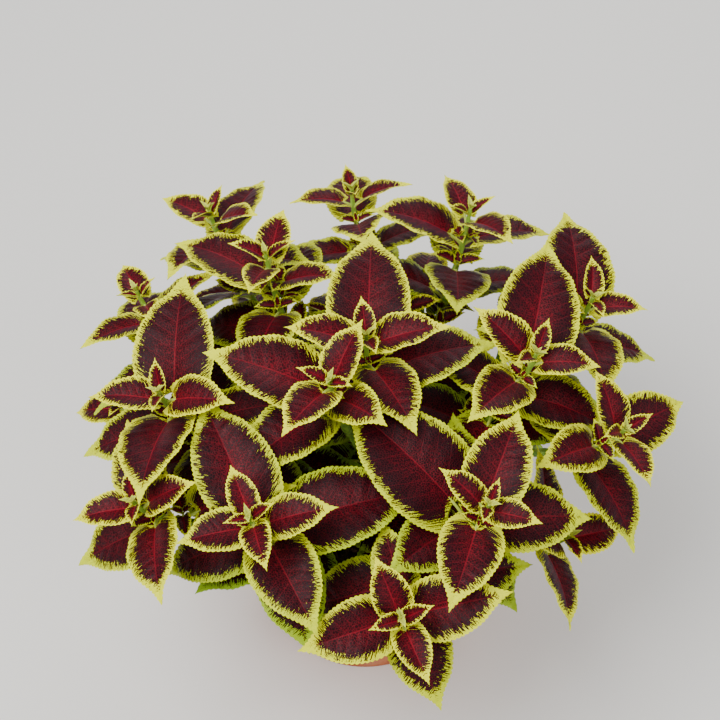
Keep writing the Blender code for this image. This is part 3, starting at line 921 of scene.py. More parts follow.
def give_points(mesh: bpy.types.Mesh, name: str, rows: np.ndarray) -> None:
    """Gives each point of a mesh a number or a vector, by a name that a finish or a tree reads."""
    kind, key = ("FLOAT_VECTOR", "vector") if rows.ndim == 2 else ("FLOAT", "value")
    mesh.attributes.new(name, kind, "POINT").data.foreach_set(key, rows.astype(np.float32).ravel())


@dataclass
class MeshParts:
    """Points, faces and named attributes that are gathered before they become one mesh."""

    points: list[np.ndarray] = field(default_factory=list)
    faces: list[np.ndarray] = field(default_factory=list)
    values: dict[str, list[np.ndarray]] = field(default_factory=dict)
    count: int = 0

    def add(self, points: np.ndarray, faces: list[np.ndarray], **values: np.ndarray) -> None:
        """Adds a closed shape.

        Args:
            points: Its points, one to a row.
            faces: Arrays of faces that index the points, triangles or quads.
            values: Attributes, one row for each point.
        """
        self.points.append(points)
        self.faces += [group + self.count for group in faces]
        for name, rows in values.items():
            self.values.setdefault(name, []).append(rows)
        self.count += len(points)

    def to_object(self, name: str, material: Material) -> bpy.types.Object:
        """One smooth object of all the parts.

        Args:
            name: The object's name.
            material: Its finish.

        Returns:
            The object, linked to the scene.
        """
        mesh = bpy.data.meshes.new(name)
        faces = [tuple(face) for group in self.faces for face in group.tolist()]
        mesh.from_pydata(np.vstack(self.points).tolist(), [], faces)
        for label, rows in self.values.items():
            give_points(mesh, label, np.concatenate(rows))
        mesh.materials.append(material)
        mesh.shade_smooth()
        mesh.set_sharp_from_angle(angle=SHARP_FROM)
        return link_mesh(name, mesh)


@dataclass(frozen=True)
class Blade:
    """The fine mesh of one leaf's blade: toothed, domed, quilted between its side veins, and thin."""

    leaf: Leaf
    fineness: Fineness
    age: float
    seed: float
    thickness: float = 0.5 * MM
    tooth: float = 0.5 * MM
    dome: float = 0.05
    wave: float = 0.8 * MM
    wave_pitch: float = 19 * MM
    quilt_up: float = 0.35 * MM
    quilt_down: float = 0.3 * MM
    quilt_fades: Ends = (5, 4)
    vein_share: float = 1 / 9
    vein_slant: float = 0.5
    vein_curl: float = 4.0
    vein_stagger: float = 0.06
    full_size: float = 60 * MM
    full_pitch: float = 3.3 * MM
    samples: int = 500
    sample_power: float = 1.5
    lobe_from: float = 0.05
    rib_column: float = 0.05
    tooth_fade: int = 6
    tooth_power: int = 6
    sweep_power: float = 1.6
    wave_spread: float = 7
    wave_stagger: float = 0.2
    wave_fade: float = 6
    edge_least: float = 0.3

    def margin(self) -> tuple[np.ndarray, np.ndarray, np.ndarray, np.ndarray]:
        """Even steps round the margin.

        Returns:
            Shares of the blade, distances along the rib and across it, and the way out of the margin.
        """
        leaf = self.leaf
        shares = np.linspace(0.0, 1.0, self.samples) ** self.sample_power
        lobe = (leaf.swept(shares) - shares) * np.minimum(1.0, shares / self.lobe_from)
        along = (shares + lobe) * leaf.length
        across = leaf.half_width(shares)
        arc = np.concatenate([[0.0], np.cumsum(np.hypot(np.diff(along), np.diff(across)))])
        rows = max(3, round(arc[-1] / self.fineness.pitch)) * self.fineness.rows
        at = arc[-1] * np.arange(1, rows) / rows
        slope = np.stack([np.gradient(along, arc), np.gradient(across, arc)], axis=-1)
        outward = np.stack([-np.interp(at, arc, slope[:, 1]), np.interp(at, arc, slope[:, 0])], axis=-1)
        outward /= np.linalg.norm(outward, axis=1, keepdims=True)
        return np.interp(at, arc, shares), np.interp(at, arc, along), np.interp(at, arc, across), outward

    def columns(self, count: int) -> np.ndarray:
        """Shares from the rib out to the margin, with a narrow column along the rib."""
        first = self.rib_column
        return np.concatenate([[0.0, first], first + (1 - first) * np.arange(1, count) / (count - 1)])

    def teeth(self, rows: int) -> np.ndarray:
        """How far each row of the margin stands out: round teeth that lean towards the tip.

        Args:
            rows: How many rows there are.

        Returns:
            A distance for each row.
        """
        profile = TOOTH_PROFILES[self.fineness.rows]
        stand = np.array([profile[k % len(profile)] for k in range(1, rows + 1)])
        nearest = np.minimum(np.arange(1, rows + 1), np.arange(rows, 0, -1))
        fade = np.minimum(1.0, nearest / self.tooth_fade)
        scale = self.tooth * min(1.0, self.fineness.pitch / self.full_pitch)
        return stand * fade * scale

    def face_points(self, columns: np.ndarray, side: int, quilted: bool) -> tuple[np.ndarray, dict]:
        """One half of one face of the blade, on a flat plan.

        Args:
            columns: Shares from the rib to the margin.
            side: 1 for the half on the left, -1 for the right.
            quilted: Whether the face swells between the side veins, or runs level under them.

        Returns:
            Distances along, across and off the face, and the attributes that go with them.
        """
        leaf = self.leaf
        shares, margin_along, half, outward = self.margin()
        out = columns[None, :]
        stand = self.teeth(len(shares))[:, None] * out**self.tooth_power
        rib = shares[:, None] * leaf.length
        along = rib + (margin_along[:, None] - rib) * out**self.sweep_power + outward[:, :1] * stand
        across = half[:, None] * out + outward[:, 1:] * stand
        spacing = leaf.length * self.vein_share
        size = min(1.0, leaf.length / self.full_size)
        phase = (along - across * self.vein_slant - self.vein_curl * across**2) / spacing
        phase = phase + side * self.vein_stagger
        window = np.minimum(1.0, out * self.quilt_fades[0]) * np.minimum(1.0, (1 - out) * self.quilt_fades[1])
        middle, swing = (self.quilt_up - self.quilt_down) / 2, (self.quilt_up + self.quilt_down) / 2
        ripple = np.cos(2 * math.pi * phase) if quilted else 1.0
        lift = (middle - swing * ripple) * window * size
        lift = lift + self.dome * half[:, None] * np.sin(math.pi * out)
        turn = along / self.wave_pitch + self.seed * self.wave_spread + side * self.wave_stagger
        swell = np.minimum(1.0, shares[:, None] * self.wave_fade)
        lift = lift + self.wave * size * out**2 * np.sin(2 * math.pi * turn) * swell
        edge = (1 - out) * half[:, None] * np.maximum(self.edge_least, outward[:, 1:])
        full = np.ones_like(along)
        values = {
            "blade": np.stack([out * full, along / leaf.length, edge / MM], axis=-1),
            "vein": np.stack([phase, spacing / MM * full, self.seed * full], axis=-1),
            "plane": np.stack([along / MM, side * across / MM, full], axis=-1),
        }
        return np.stack([along, across * side, lift], axis=-1), values

    def place(self, flat: np.ndarray, thick: np.ndarray | float) -> np.ndarray:
        """World points of flat ones, folded up from the rib and moved off the face.

        Args:
            flat: Distances along, across and off the face.
            thick: How much further off the face each point goes.

        Returns:
            The points.
        """
        leaf = self.leaf
        along, across, lift = flat[..., 0], flat[..., 1], flat[..., 2] + thick
        up = np.abs(across) * math.sin(leaf.fold) + lift
        return leaf.place(leaf.rib_line(along / leaf.length), across * math.cos(leaf.fold), up)

    def face(self, columns: np.ndarray, upper: bool) -> tuple[np.ndarray, dict]:
        """One face of the blade, from one margin to the other.

        Args:
            columns: Shares from the rib to the margin.
            upper: Whether it is the upper face.

        Returns:
            Rows of points, and the attributes that go with them.
        """
        left, left_values = self.face_points(columns, 1, upper)
        right, right_values = self.face_points(columns[1:], -1, upper)
        flat = np.concatenate([left[:, ::-1], right], axis=1)
        out = np.concatenate([columns[::-1], columns[1:]])
        sign = 1.0 if upper else -1.0
        thick = sign * self.thickness / 2 * (1 - out**4)
        values = {}
        for key, rows in left_values.items():
            values[key] = np.concatenate([rows[:, ::-1], right_values[key]], axis=1)
        values["plane"][..., 2] = 0.0 if upper else 1.0
        return self.place(flat, thick[None, :]), values

    def ends(self) -> tuple[np.ndarray, dict]:
        """The base and the tip, where the two faces meet.

        Returns:
            Both points, and the attributes that go with them.
        """
        length, spacing = self.leaf.length, self.leaf.length * self.vein_share
        points = self.place(np.array([[0.0, 0.0, 0.0], [length, 0.0, 0.0]]), 0.0)
        values = {
            "blade": np.array([[0.0, 0.0, 0.0], [1.0, 1.0, 0.0]]),
            "vein": np.array([[0.0, spacing / MM, self.seed], [length / spacing, spacing / MM, self.seed]]),
            "plane": np.array([[0.0, 0.0, 0.0], [length / MM, 0.0, 0.0]]),
        }
        return points, values

    def add_to(self, parts: MeshParts) -> None:
        """Adds the blade's closed mesh to the parts: two faces that share their margin and their ends.

        Args:
            parts: What it is added to.
        """
        upper, upper_values = self.face(self.columns(self.fineness.above), True)
        lower, lower_values = self.face(self.columns(self.fineness.below), False)
        lower = lower[:, 1:-1]
        ends, values = self.ends()
        upper_grid = np.arange(upper.size // 3).reshape(upper.shape[:2])
        lower_grid = upper_grid.size + np.arange(lower.size // 3).reshape(lower.shape[:2])
        base = upper_grid.size + lower_grid.size
        lower_grid = np.concatenate([upper_grid[:, :1], lower_grid, upper_grid[:, -1:]], axis=1)
        faces = grid_faces(upper_grid, base, base + 1)
        faces += [group[:, ::-1] for group in grid_faces(lower_grid, base, base + 1)]
        points = np.vstack([upper.reshape(-1, 3), lower.reshape(-1, 3), ends])
        for key, rows in values.items():
            inner = lower_values[key][:, 1:-1]
            values[key] = np.vstack([upper_values[key].reshape(-1, 3), inner.reshape(-1, 3), rows])
        parts.add(points, faces, age=np.full(len(points), self.age), **values)


def grid_faces(grid: np.ndarray, base: int, tip: int) -> list[np.ndarray]:
    """The faces of one side of a blade.

    Args:
        grid: The numbers of its points, a row to each step along the blade.
        base: The number of the point at its base.
        tip: The number of the point at its tip.

    Returns:
        The quads, then the triangles at each end.
    """
    quads = np.stack([grid[:-1, :-1], grid[:-1, 1:], grid[1:, 1:], grid[1:, :-1]], axis=-1)
    first = np.stack([np.full_like(grid[0, 1:], base), grid[0, 1:], grid[0, :-1]], axis=-1)
    last = np.stack([grid[-1, :-1], grid[-1, 1:], np.full_like(grid[-1, 1:], tip)], axis=-1)
    return [quads.reshape(-1, 4), first, last]


@dataclass
class Graph:
    """Puts nodes into a tree and joins them."""

    tree: bpy.types.NodeTree

    def add(self, kind: str, *values: object, **settings: object) -> Node:
        """A new node.

        Args:
            kind: Its type.
            values: What its first sockets get, in order.
            settings: Its settings.

        Returns:
            The node.
        """
        node = self.tree.nodes.new(kind)
        for name, value in settings.items():
            setattr(node, name, value)
        for socket, value in zip(node.inputs, values):
            self.feed(socket, value)
        return node

    def feed(self, socket: Socket, value: object) -> None:
        """Links a socket to another, or sets its value.

        Args:
            socket: The socket.
            value: The other socket, or the value.
        """
        if isinstance(value, Socket):
            self.tree.links.new(value, socket)
        else:
            socket.default_value = value

    def fill(self, node: Node, **values: object) -> Node:
        """Feeds a node's sockets.

        Args:
            node: The node.
            values: What they get, by their names with an underscore for each space.

        Returns:
            The node.
        """
        for name, value in values.items():
            self.feed(node.inputs[name.replace("_", " ")], value)
        return node

    def math(self, operation: str, *values: object) -> Socket:
        """A Math node's result."""
        return self.add("ShaderNodeMath", *values, operation=operation).outputs[0]

    def times(self, one: object, other: object) -> Socket:
        """One value times another."""
        return self.math("MULTIPLY", one, other)

    def plus(self, one: object, other: object) -> Socket:
        """One value and another together."""
        return self.math("ADD", one, other)

    def less(self, one: object, other: object) -> Socket:
        """One value less another."""
        return self.math("SUBTRACT", one, other)

    def step(self, value: object, low: float, high: float) -> Socket:
        """A smooth rise from 0 to 1, or a fall from 1 to 0.

        Args:
            value: The value that it follows.
            low: Where it is 0.
            high: Where it is 1.

        Returns:
            The result.
        """
        node = self.add("ShaderNodeMapRange", interpolation_type="SMOOTHSTEP")
        rising = low < high
        ends = (low, high, 0.0, 1.0) if rising else (high, low, 1.0, 0.0)
        self.feed(node.inputs[0], value)
        for socket, end in zip(node.inputs[1:5], ends):
            socket.default_value = end
        return node.outputs[0]

    def mix(self, share: object, one: object, other: object) -> Socket:
        """A colour between two, which are sockets or three numbers each.

        Args:
            share: The share of the other colour.
            one: A colour.
            other: The other colour.

        Returns:
            The mixed colour.
        """
        node = self.add("ShaderNodeMix", data_type="RGBA")
        self.feed(node.inputs[0], share)
        for socket, colour in ((node.inputs[6], one), (node.inputs[7], other)):
            self.feed(socket, (*colour, 1.0) if isinstance(colour, tuple) else colour)
        return node.outputs[2]

    def attribute(self, name: str) -> Node:
        """An attribute of the surface."""
        return self.add("ShaderNodeAttribute", attribute_name=name, attribute_type="GEOMETRY")

    def place(self) -> Socket:
        """The place on the object."""
        return self.add("ShaderNodeTexCoord").outputs["Object"]

    def split(self, vector: Socket) -> tuple[Socket, ...]:
        """A vector's three numbers."""
        return tuple(self.add("ShaderNodeSeparateXYZ", vector).outputs)

    def vector(self, *values: object) -> Socket:
        """A vector of three numbers."""
        return self.add("ShaderNodeCombineXYZ", *values).outputs[0]

    def noise(self, where: object, scale: float, detail: float = 2.0) -> Socket:
        """Soft noise from 0 to 1, at a place, with as many finer layers as the detail says."""
        node = self.add("ShaderNodeTexNoise")
        return self.fill(node, Vector=where, Scale=scale, Detail=detail).outputs[0]

    def cells(self, where: object, scale: float, feature: str = "DISTANCE_TO_EDGE") -> Socket:
        """The distance to the nearest edge in a net of cells, or to another of its features."""
        node = self.add("ShaderNodeTexVoronoi", feature=feature)
        return self.fill(node, Vector=where, Scale=scale).outputs["Distance"]

    def bump(self, height: object, strength: float, distance: float) -> Socket:
        """A bumped normal, from a height of which 1 stands out by the distance."""
        node = self.add("ShaderNodeBump")
        return self.fill(node, Strength=strength, Distance=distance, Height=height).outputs[0]


def hexed(code: str) -> Colour:
    """A linear colour from six hexadecimal digits of a display colour."""
    shares = [int(code[k : k + 2], 16) / 255 for k in (0, 2, 4)]
    return tuple(c / 12.92 if c <= 0.04045 else ((c + 0.055) / 1.055) ** 2.4 for c in shares)


@dataclass(frozen=True)
class Finish:
    """A finish, with what its shader's plain sockets hold and how far its relief stands out."""

    name: str
    roughness: float
    sheen: float = 0.0
    sheen_roughness: float = 0.5
    sheen_tint: Colour = (1.0, 1.0, 1.0)
    specular: float = 0.5
    relief: float = 0.5
    relief_height: float = 0.25 * MM

    def build(self) -> Material:
        """Makes the finish.

        Returns:
            The material.
        """
        material = bpy.data.materials.new(self.name)
        material.use_nodes = True
        graph = Graph(material.node_tree)
        colour, height = self.paint(graph)
        graph.fill(
            material.node_tree.nodes["Principled BSDF"],
            Base_Color=colour,
            Roughness=self.roughness,
            Specular_IOR_Level=self.specular,
            Sheen_Weight=self.sheen,
            Sheen_Roughness=self.sheen_roughness,
            Sheen_Tint=(*self.sheen_tint, 1.0),
            Normal=graph.bump(height, self.relief, self.relief_height),
        )
        return material

    def paint(self, graph: Graph) -> tuple[Socket, Socket]:
        """The finish's own colour and relief."""
        raise NotImplementedError


class LeafGraph(Graph):
    """A leaf's material tree, which knows where a point is on its leaf. Lengths are in mm."""

    def __init__(self, tree: bpy.types.NodeTree, spread: float) -> None:
        """Reads the attributes that each blade carries.

        Args:
            tree: The material's tree.
            spread: How far apart the patterns of the leaves lie.
        """
        super().__init__(tree)
        self.out, self.share, self.edge = self.split(self.attribute("blade").outputs["Vector"])
        self.phase, self.spacing, self.seed = self.split(self.attribute("vein").outputs["Vector"])
        along, self.across, self.under = self.split(self.attribute("plane").outputs["Vector"])
        self.age = self.attribute("age").outputs["Fac"]
        self.shift = self.times(self.seed, spread)
        self.flat = self.vector(along, self.across, self.shift)


@dataclass(frozen=True)
class LeafFinish(Finish):
    """A coleus leaf: wine red with crimson veins, inside a lime yellow margin that runs in ragged.

    Lengths are in mm, and a scale is how many features there are to a mm. Of two numbers that go
    together, the pattern is nothing at the first and full at the second.
    """

    field_dark: Colour = (0.0044, 0.0003, 0.0016)
    field_light: Colour = (0.022, 0.0004, 0.0028)
    heart: Colour = (0.120, 0.0012, 0.0052)
    vein: Colour = (0.26, 0.0048, 0.0150)
    band: Colour = (0.84, 0.83, 0.0015)
    band_pale: Colour = (0.88, 0.87, 0.012)
    # Darker green margin: the underside's own margin colour, and on the lower, older pairs partly their own
    # greener margin, partly painted shade
    band_green_and_shade: Colour = (0.27, 0.46, 0.006)
    # Near-black field of the lower, older pairs: partly their own darker colour, partly painted shade of the
    # canopy above them
    field_old_shaded: Colour = (0.0066, 0.0007, 0.0014)
    bud: Colour = (0.66, 0.74, 0.10)
    under: Colour = hexed("682440")
    under_vein: Colour = hexed("a08c62")

    spread: float = 40.0
    bud_ages: Ends = (0.1, 0.0)
    bud_share: float = 0.75
    grown_ages: Ends = (0.1, 0.4)
    grown_share: float = 0.5
    # How far the lower, older pairs are darkened, with their own darker colour and painted shade
    old_and_shaded_ages: Ends = (0.15, 0.85)
    old_and_shaded_share: float = 0.85

    blotch_scale: float = 0.16
    blotch_tones: Ends = (0.34, 0.66)
    blotch_share: float = 0.45
    grain_scale: float = 0.85
    grain_tones: Ends = (0.38, 0.62)
    grain_share: float = 0.55
    heart_out: Ends = (0.75, 0.0)
    heart_along: Ends = (0.98, 0.1)
    warmth: float = 0.1
    warmth_of_leaf: float = 0.22
    warmth_of_grain: float = 0.4

    net_scale: float = 0.58
    net_width: Ends = (0.2, 0.02)
    net_share: float = 0.12
    net_of_heart: float = 0.9
    vein_width: float = 0.18
    vein_taper: float = 0.22
    side_vein_edge: Ends = (1.6, 0.6)
    side_vein_out: Ends = (0.98, 0.8)
    side_vein_share: float = 0.22
    rib_width: Ends = (0.8, 0.2)
    rib_along: Ends = (1.05, 0.2)
    rib_share: float = 0.75
    vein_fade: float = 0.6

    band_width: float = 1.7
    band_least: float = 1.2
    band_ages: Ends = (0.05, 0.45)
    band_growth: float = 1.2
    band_tip_along: Ends = (0.66, 1.0)
    band_at_tip: float = 5.5
    band_edge: Ends = (-0.1, 0.2)
    pale_edge: Ends = (1.0, 0.1)
    band_full_spacing: float = 6.2
    streak_depth: float = 20.0
    streak_scale: float = 0.95
    streak_middle: float = 0.47
    streak_run: float = 1.5
    streak_reach: float = 0.27
    fleck_depth: float = 9.0
    fleck_scale: float = 1.9
    under_band: Ends = (2.6, 1.6)
    under_net: float = 0.25

    skin_scale: float = 3.2
    skin_height: float = 0.25
    net_depth: float = 0.5
    vein_depth: float = 0.9
    relief: float = 0.8

    def red_field(self, leaf: LeafGraph) -> tuple[Socket, Socket]:
        """The red field, which is brightest at its heart and darkens with age.

        Args:
            leaf: The material's tree.

        Returns:
            The field's colour, and how near the heart a point is.
        """
        blotches = leaf.step(leaf.noise(leaf.flat, self.blotch_scale, 5.0), *self.blotch_tones)
        grain = leaf.step(leaf.noise(leaf.flat, self.grain_scale, 3.0), *self.grain_tones)
        blend = leaf.plus(leaf.times(blotches, self.blotch_share), leaf.times(grain, self.grain_share))
        colour = leaf.mix(blend, self.field_dark, self.field_light)
        inside = leaf.times(leaf.step(leaf.out, *self.heart_out), leaf.step(leaf.share, *self.heart_along))
        warmth = leaf.plus(self.warmth, leaf.times(leaf.seed, self.warmth_of_leaf))
        heart = leaf.times(inside, leaf.plus(warmth, leaf.times(grain, self.warmth_of_grain)))
        colour = leaf.mix(heart, colour, self.heart)
        grown = leaf.times(leaf.step(leaf.age, *self.grown_ages), self.grown_share)
        return leaf.mix(grown, colour, self.field_dark), heart

    def veins(self, leaf: LeafGraph) -> Socket:
        """The rib and the side veins.

        Args:
            leaf: The material's tree.

        Returns:
            How much of a vein a point is.
        """
        off_vein = leaf.times(leaf.math("PINGPONG", leaf.phase, 0.5), leaf.spacing)
        width = leaf.plus(self.vein_width, leaf.times(leaf.less(1.0, leaf.out), self.vein_taper))
        side_vein = leaf.step(leaf.math("DIVIDE", off_vein, width), *self.side_vein_edge)
        side_vein = leaf.times(side_vein, leaf.step(leaf.out, *self.side_vein_out))
        rib = leaf.step(leaf.math("ABSOLUTE", leaf.across), *self.rib_width)
        rib = leaf.times(rib, leaf.step(leaf.share, *self.rib_along))
        side_vein = leaf.times(side_vein, self.side_vein_share)
        return leaf.math("MAXIMUM", side_vein, leaf.times(rib, self.rib_share))

    def margin(self, leaf: LeafGraph) -> Socket:
        """The yellow margin, which is wider at the tip and runs in along the side veins.

        Args:
            leaf: The material's tree.

        Returns:
            1 in the margin and 0 inside it.
        """
        run = leaf.times(leaf.times(leaf.phase, leaf.spacing), self.streak_run)
        spot = leaf.vector(run, leaf.times(leaf.edge, self.streak_reach), leaf.shift)
        streak = leaf.less(leaf.noise(spot, self.streak_scale, 1.0), self.streak_middle)
        fleck = leaf.less(leaf.noise(leaf.flat, self.fleck_scale, 1.0), 0.5)
        ragged = leaf.plus(leaf.times(streak, self.streak_depth), leaf.times(fleck, self.fleck_depth))
        width = leaf.plus(self.band_width, leaf.times(leaf.step(leaf.age, *self.band_ages), self.band_growth))
        width = leaf.plus(width, leaf.times(leaf.step(leaf.share, *self.band_tip_along), self.band_at_tip))
        full = leaf.math("MINIMUM", leaf.math("DIVIDE", leaf.spacing, self.band_full_spacing), 1.0)
        inner = leaf.times(leaf.plus(width, ragged), full)
        inner = leaf.math("MAXIMUM", inner, leaf.times(full, self.band_least))
        return leaf.step(leaf.less(inner, leaf.edge), *self.band_edge)

    def paint(self, graph: Graph) -> tuple[Socket, Socket]:
        """Paints the field, the veins, the margin and the underside, with painted shade on the lower, older
        pairs over their own darker colour.

        Args:
            graph: The material's tree.

        Returns:
            The colour and the relief.
        """
        leaf = LeafGraph(graph.tree, self.spread)
        # Painted shade: the lower, older pairs get a near-black field and fainter veins, partly their own
        # darker colour
        aged_and_shaded = leaf.step(leaf.age, *self.old_and_shaded_ages)
        colour, heart = self.red_field(leaf)
        colour = leaf.mix(leaf.times(aged_and_shaded, self.old_and_shaded_share), colour, self.field_old_shaded)
        net = leaf.step(leaf.cells(leaf.flat, self.net_scale), *self.net_width)
        veins = self.veins(leaf)
        thread = leaf.plus(self.net_share, leaf.times(heart, self.net_of_heart))
        colour = leaf.mix(leaf.times(net, thread), colour, self.vein)
        fade = leaf.less(1.0, leaf.times(aged_and_shaded, self.vein_fade))
        colour = leaf.mix(leaf.times(veins, fade), colour, self.vein)

        band = leaf.mix(leaf.step(leaf.edge, *self.pale_edge), self.band, self.band_pale)
        # Painted shade on the margin of the lower, older pairs, over their own greener colour
        band = leaf.mix(aged_and_shaded, band, self.band_green_and_shade)
        colour = leaf.mix(self.margin(leaf), colour, band)
        young = leaf.step(leaf.age, *self.bud_ages)
        colour = leaf.mix(leaf.times(young, self.bud_share), colour, self.bud)

        pale = leaf.math("MAXIMUM", veins, leaf.times(net, self.under_net))
        below = leaf.mix(pale, self.under, self.under_vein)
        below = leaf.mix(leaf.step(leaf.edge, *self.under_band), below, self.band_green_and_shade)
        colour = leaf.mix(leaf.under, colour, below)

        skin = leaf.times(leaf.noise(leaf.flat, self.skin_scale, 2.0), self.skin_height)
        height = leaf.less(skin, leaf.times(net, self.net_depth))
        return colour, leaf.less(height, leaf.times(veins, self.vein_depth))


@dataclass(frozen=True)
class StalkFinish(Finish):
    """Green stalks and paler leaf stalks, faintly ribbed. A scale is how many features to a metre."""

    dark: Colour = hexed("557d1c")
    light: Colour = hexed("94b83a")
    petiole: Colour = hexed("bccc4c")
    blush: Colour = hexed("7a3440")
    mottle_scale: float = 260.0
    tip_share: float = 0.7
    stain_scale: float = 90.0
    stain_share: float = 0.45
    grain_scale: float = 500.0
    rib_scale: float = 6.0
    rib_stretch: float = 0.15
    relief: float = 0.4
    relief_height: float = 0.2 * MM

    def paint(self, graph: Graph) -> tuple[Socket, Socket]:
        """Paints the length of each stalk, from its kind.

        Args:
            graph: The material's tree.

        Returns:
            The colour and the relief.
        """
        share, along, kind = graph.split(graph.attribute("tube").outputs["Vector"])
        place = graph.place()
        mottle = graph.step(graph.noise(place, self.mottle_scale, 3.0), *TONES)
        colour = graph.mix(mottle, self.dark, self.light)
        colour = graph.mix(graph.times(graph.step(share, 0.4, 1.0), self.tip_share), colour, self.light)
        colour = graph.mix(kind, colour, self.petiole)
        stain = graph.step(graph.noise(place, self.stain_scale, 2.0), 0.58, 0.8)
        colour = graph.mix(graph.times(stain, self.stain_share), colour, self.blush)
        grain = graph.noise(place, self.grain_scale)
        spot = graph.vector(graph.times(along, self.rib_stretch), grain, kind)
        return colour, graph.noise(spot, self.rib_scale)


@dataclass(frozen=True)
class ClayFinish(Finish):
    """Fired clay: mottled orange brown, with a pale bloom and the marks of turning."""

    clay: Colour = hexed("b4603a")
    warm: Colour = hexed("c9774c")
    dark: Colour = hexed("8c452a")
    bloom: Colour = hexed("d9b49a")
    cloud_scale: float = 14.0
    fleck_scale: float = 420.0
    bloom_scale: float = 22.0
    bloom_fall: float = -1.2
    bloom_share: float = 0.34
    grit_scale: float = 900.0
    turning: float = 2400.0
    turning_height: float = 0.25
    wobble_scale: float = 9.0
    wobble: float = 0.004

    def paint(self, graph: Graph) -> tuple[Socket, Socket]:
        """Paints the mottling and the bloom, and cuts the turning marks.

        Args:
            graph: The material's tree.

        Returns:
            The colour and the relief.
        """
        place = graph.place()
        height = graph.split(place)[2]
        clouds = graph.step(graph.noise(place, self.cloud_scale, 5.0), *TONES)
        flecks = graph.step(graph.noise(place, self.fleck_scale, 2.0), 0.62, 0.75)
        colour = graph.mix(clouds, self.clay, self.warm)
        colour = graph.mix(flecks, colour, self.dark)
        wash = graph.plus(graph.noise(place, self.bloom_scale, 6.0), graph.times(height, self.bloom_fall))
        wash = graph.times(graph.step(wash, 0.45, 0.78), self.bloom_share)
        colour = graph.mix(wash, colour, self.bloom)
        wobble = graph.times(graph.noise(place, self.wobble_scale), self.wobble)
        rings = graph.math("SINE", graph.times(graph.plus(height, wobble), self.turning))
        grit = graph.noise(place, self.grit_scale, 3.0)
        return colour, graph.plus(graph.times(rings, self.turning_height), grit)


@dataclass(frozen=True)
class SoilFinish(Finish):
    """Damp compost, from near black to brown, in crumbs."""

    dark: Colour = hexed("1a110b")
    light: Colour = hexed("4a3423")
    tint_scale: float = 160.0
    crumb_scale: float = 420.0
    grit_scale: float = 700.0
    relief: float = 0.9
    relief_height: float = 0.8 * MM

    def paint(self, graph: Graph) -> tuple[Socket, Socket]:
        """Paints the crumbs.

        Args:
            graph: The material's tree.

        Returns:
            The colour and the relief.
        """
        place = graph.place()
        crumbs = graph.cells(place, self.crumb_scale, "F1")
        tint = graph.step(graph.noise(place, self.tint_scale, 5.0), 0.35, 0.75)
        grit = graph.noise(place, self.grit_scale, 4.0)
        return graph.mix(tint, self.dark, self.light), graph.less(grit, crumbs)


@dataclass(frozen=True)
class SpeckFinish(Finish):
    """A plain mottled finish between two tones, for grains and hairs."""

    dark: Colour = (0.1, 0.1, 0.1)
    light: Colour = (0.5, 0.5, 0.5)
    scale: float = 300.0
    relief: float = 0.6
    relief_height: float = 0.4 * MM

    def paint(self, graph: Graph) -> tuple[Socket, Socket]:
        """Paints the two tones.

        Args:
            graph: The material's tree.

        Returns:
            The colour and the relief.
        """
        tone = graph.noise(graph.place(), self.scale, 4.0)
        return graph.mix(graph.step(tone, *TONES), self.dark, self.light), tone


class GeometryTree(Graph):
    """A geometry tree with named inputs, which is set up, evaluated and baked into a plain mesh."""

    def __init__(self, name: str, **sizes: float) -> None:
        """Starts a tree.

        Args:
            name: Its name.
            sizes: Its inputs and their values: whole numbers make whole-number inputs.
        """
        super().__init__(bpy.data.node_groups.new(name, "GeometryNodeTree"))
        face = self.tree.interface
        face.new_socket("Geometry", in_out="INPUT", socket_type="NodeSocketGeometry")
        face.new_socket("Geometry", in_out="OUTPUT", socket_type="NodeSocketGeometry")
        self.keys = {}
        for label, value in sizes.items():
            kind = "NodeSocketInt" if isinstance(value, int) else "NodeSocketFloat"
            self.keys[label] = (face.new_socket(label, in_out="INPUT", socket_type=kind).identifier, value)
        self.start = self.add("NodeGroupInput")
        self.end = self.add("NodeGroupOutput")

    def size(self, label: str) -> Socket:
        """A named input."""
        return self.start.outputs[label]

    def draws(self, low: float, high: float, seed: int) -> Socket:
        """A random number for each point.

        Args:
            low: The least.
            high: The most.
            seed: The seed of the draws.

        Returns:
            The numbers.
        """
        node = self.fill(self.add("FunctionNodeRandomValue", data_type="FLOAT"), Seed=seed)
        node.inputs[2].default_value, node.inputs[3].default_value = low, high
        return node.outputs[1]

    def close(self, geometry: object, material: Material) -> None:
        """Ends the tree: instances made real, and a material set.

        Args:
            geometry: The geometry's socket.
            material: The material.
        """
        real = self.add("GeometryNodeRealizeInstances", geometry)
        dressed = self.fill(self.add("GeometryNodeSetMaterial", real.outputs[0]), Material=material)
        self.feed(self.end.inputs[0], dressed.outputs[0])

    def bake(self, obj: bpy.types.Object, name: str) -> bpy.types.Object:
        """A plain object of the tree's result.

        Args:
            obj: The object that the tree runs on, which keeps its own mesh.
            name: The new object's name.

        Returns:
            The new object.
        """
        modifier = obj.modifiers.new(self.tree.name, "NODES")
        modifier.node_group = self.tree
        for identifier, value in self.keys.values():
            modifier[identifier] = value
        graph = bpy.context.evaluated_depsgraph_get()
        mesh = bpy.data.meshes.new_from_object(obj.evaluated_get(graph), depsgraph=graph)
        obj.modifiers.remove(modifier)
        mesh.name = name
        return link_mesh(name, mesh)


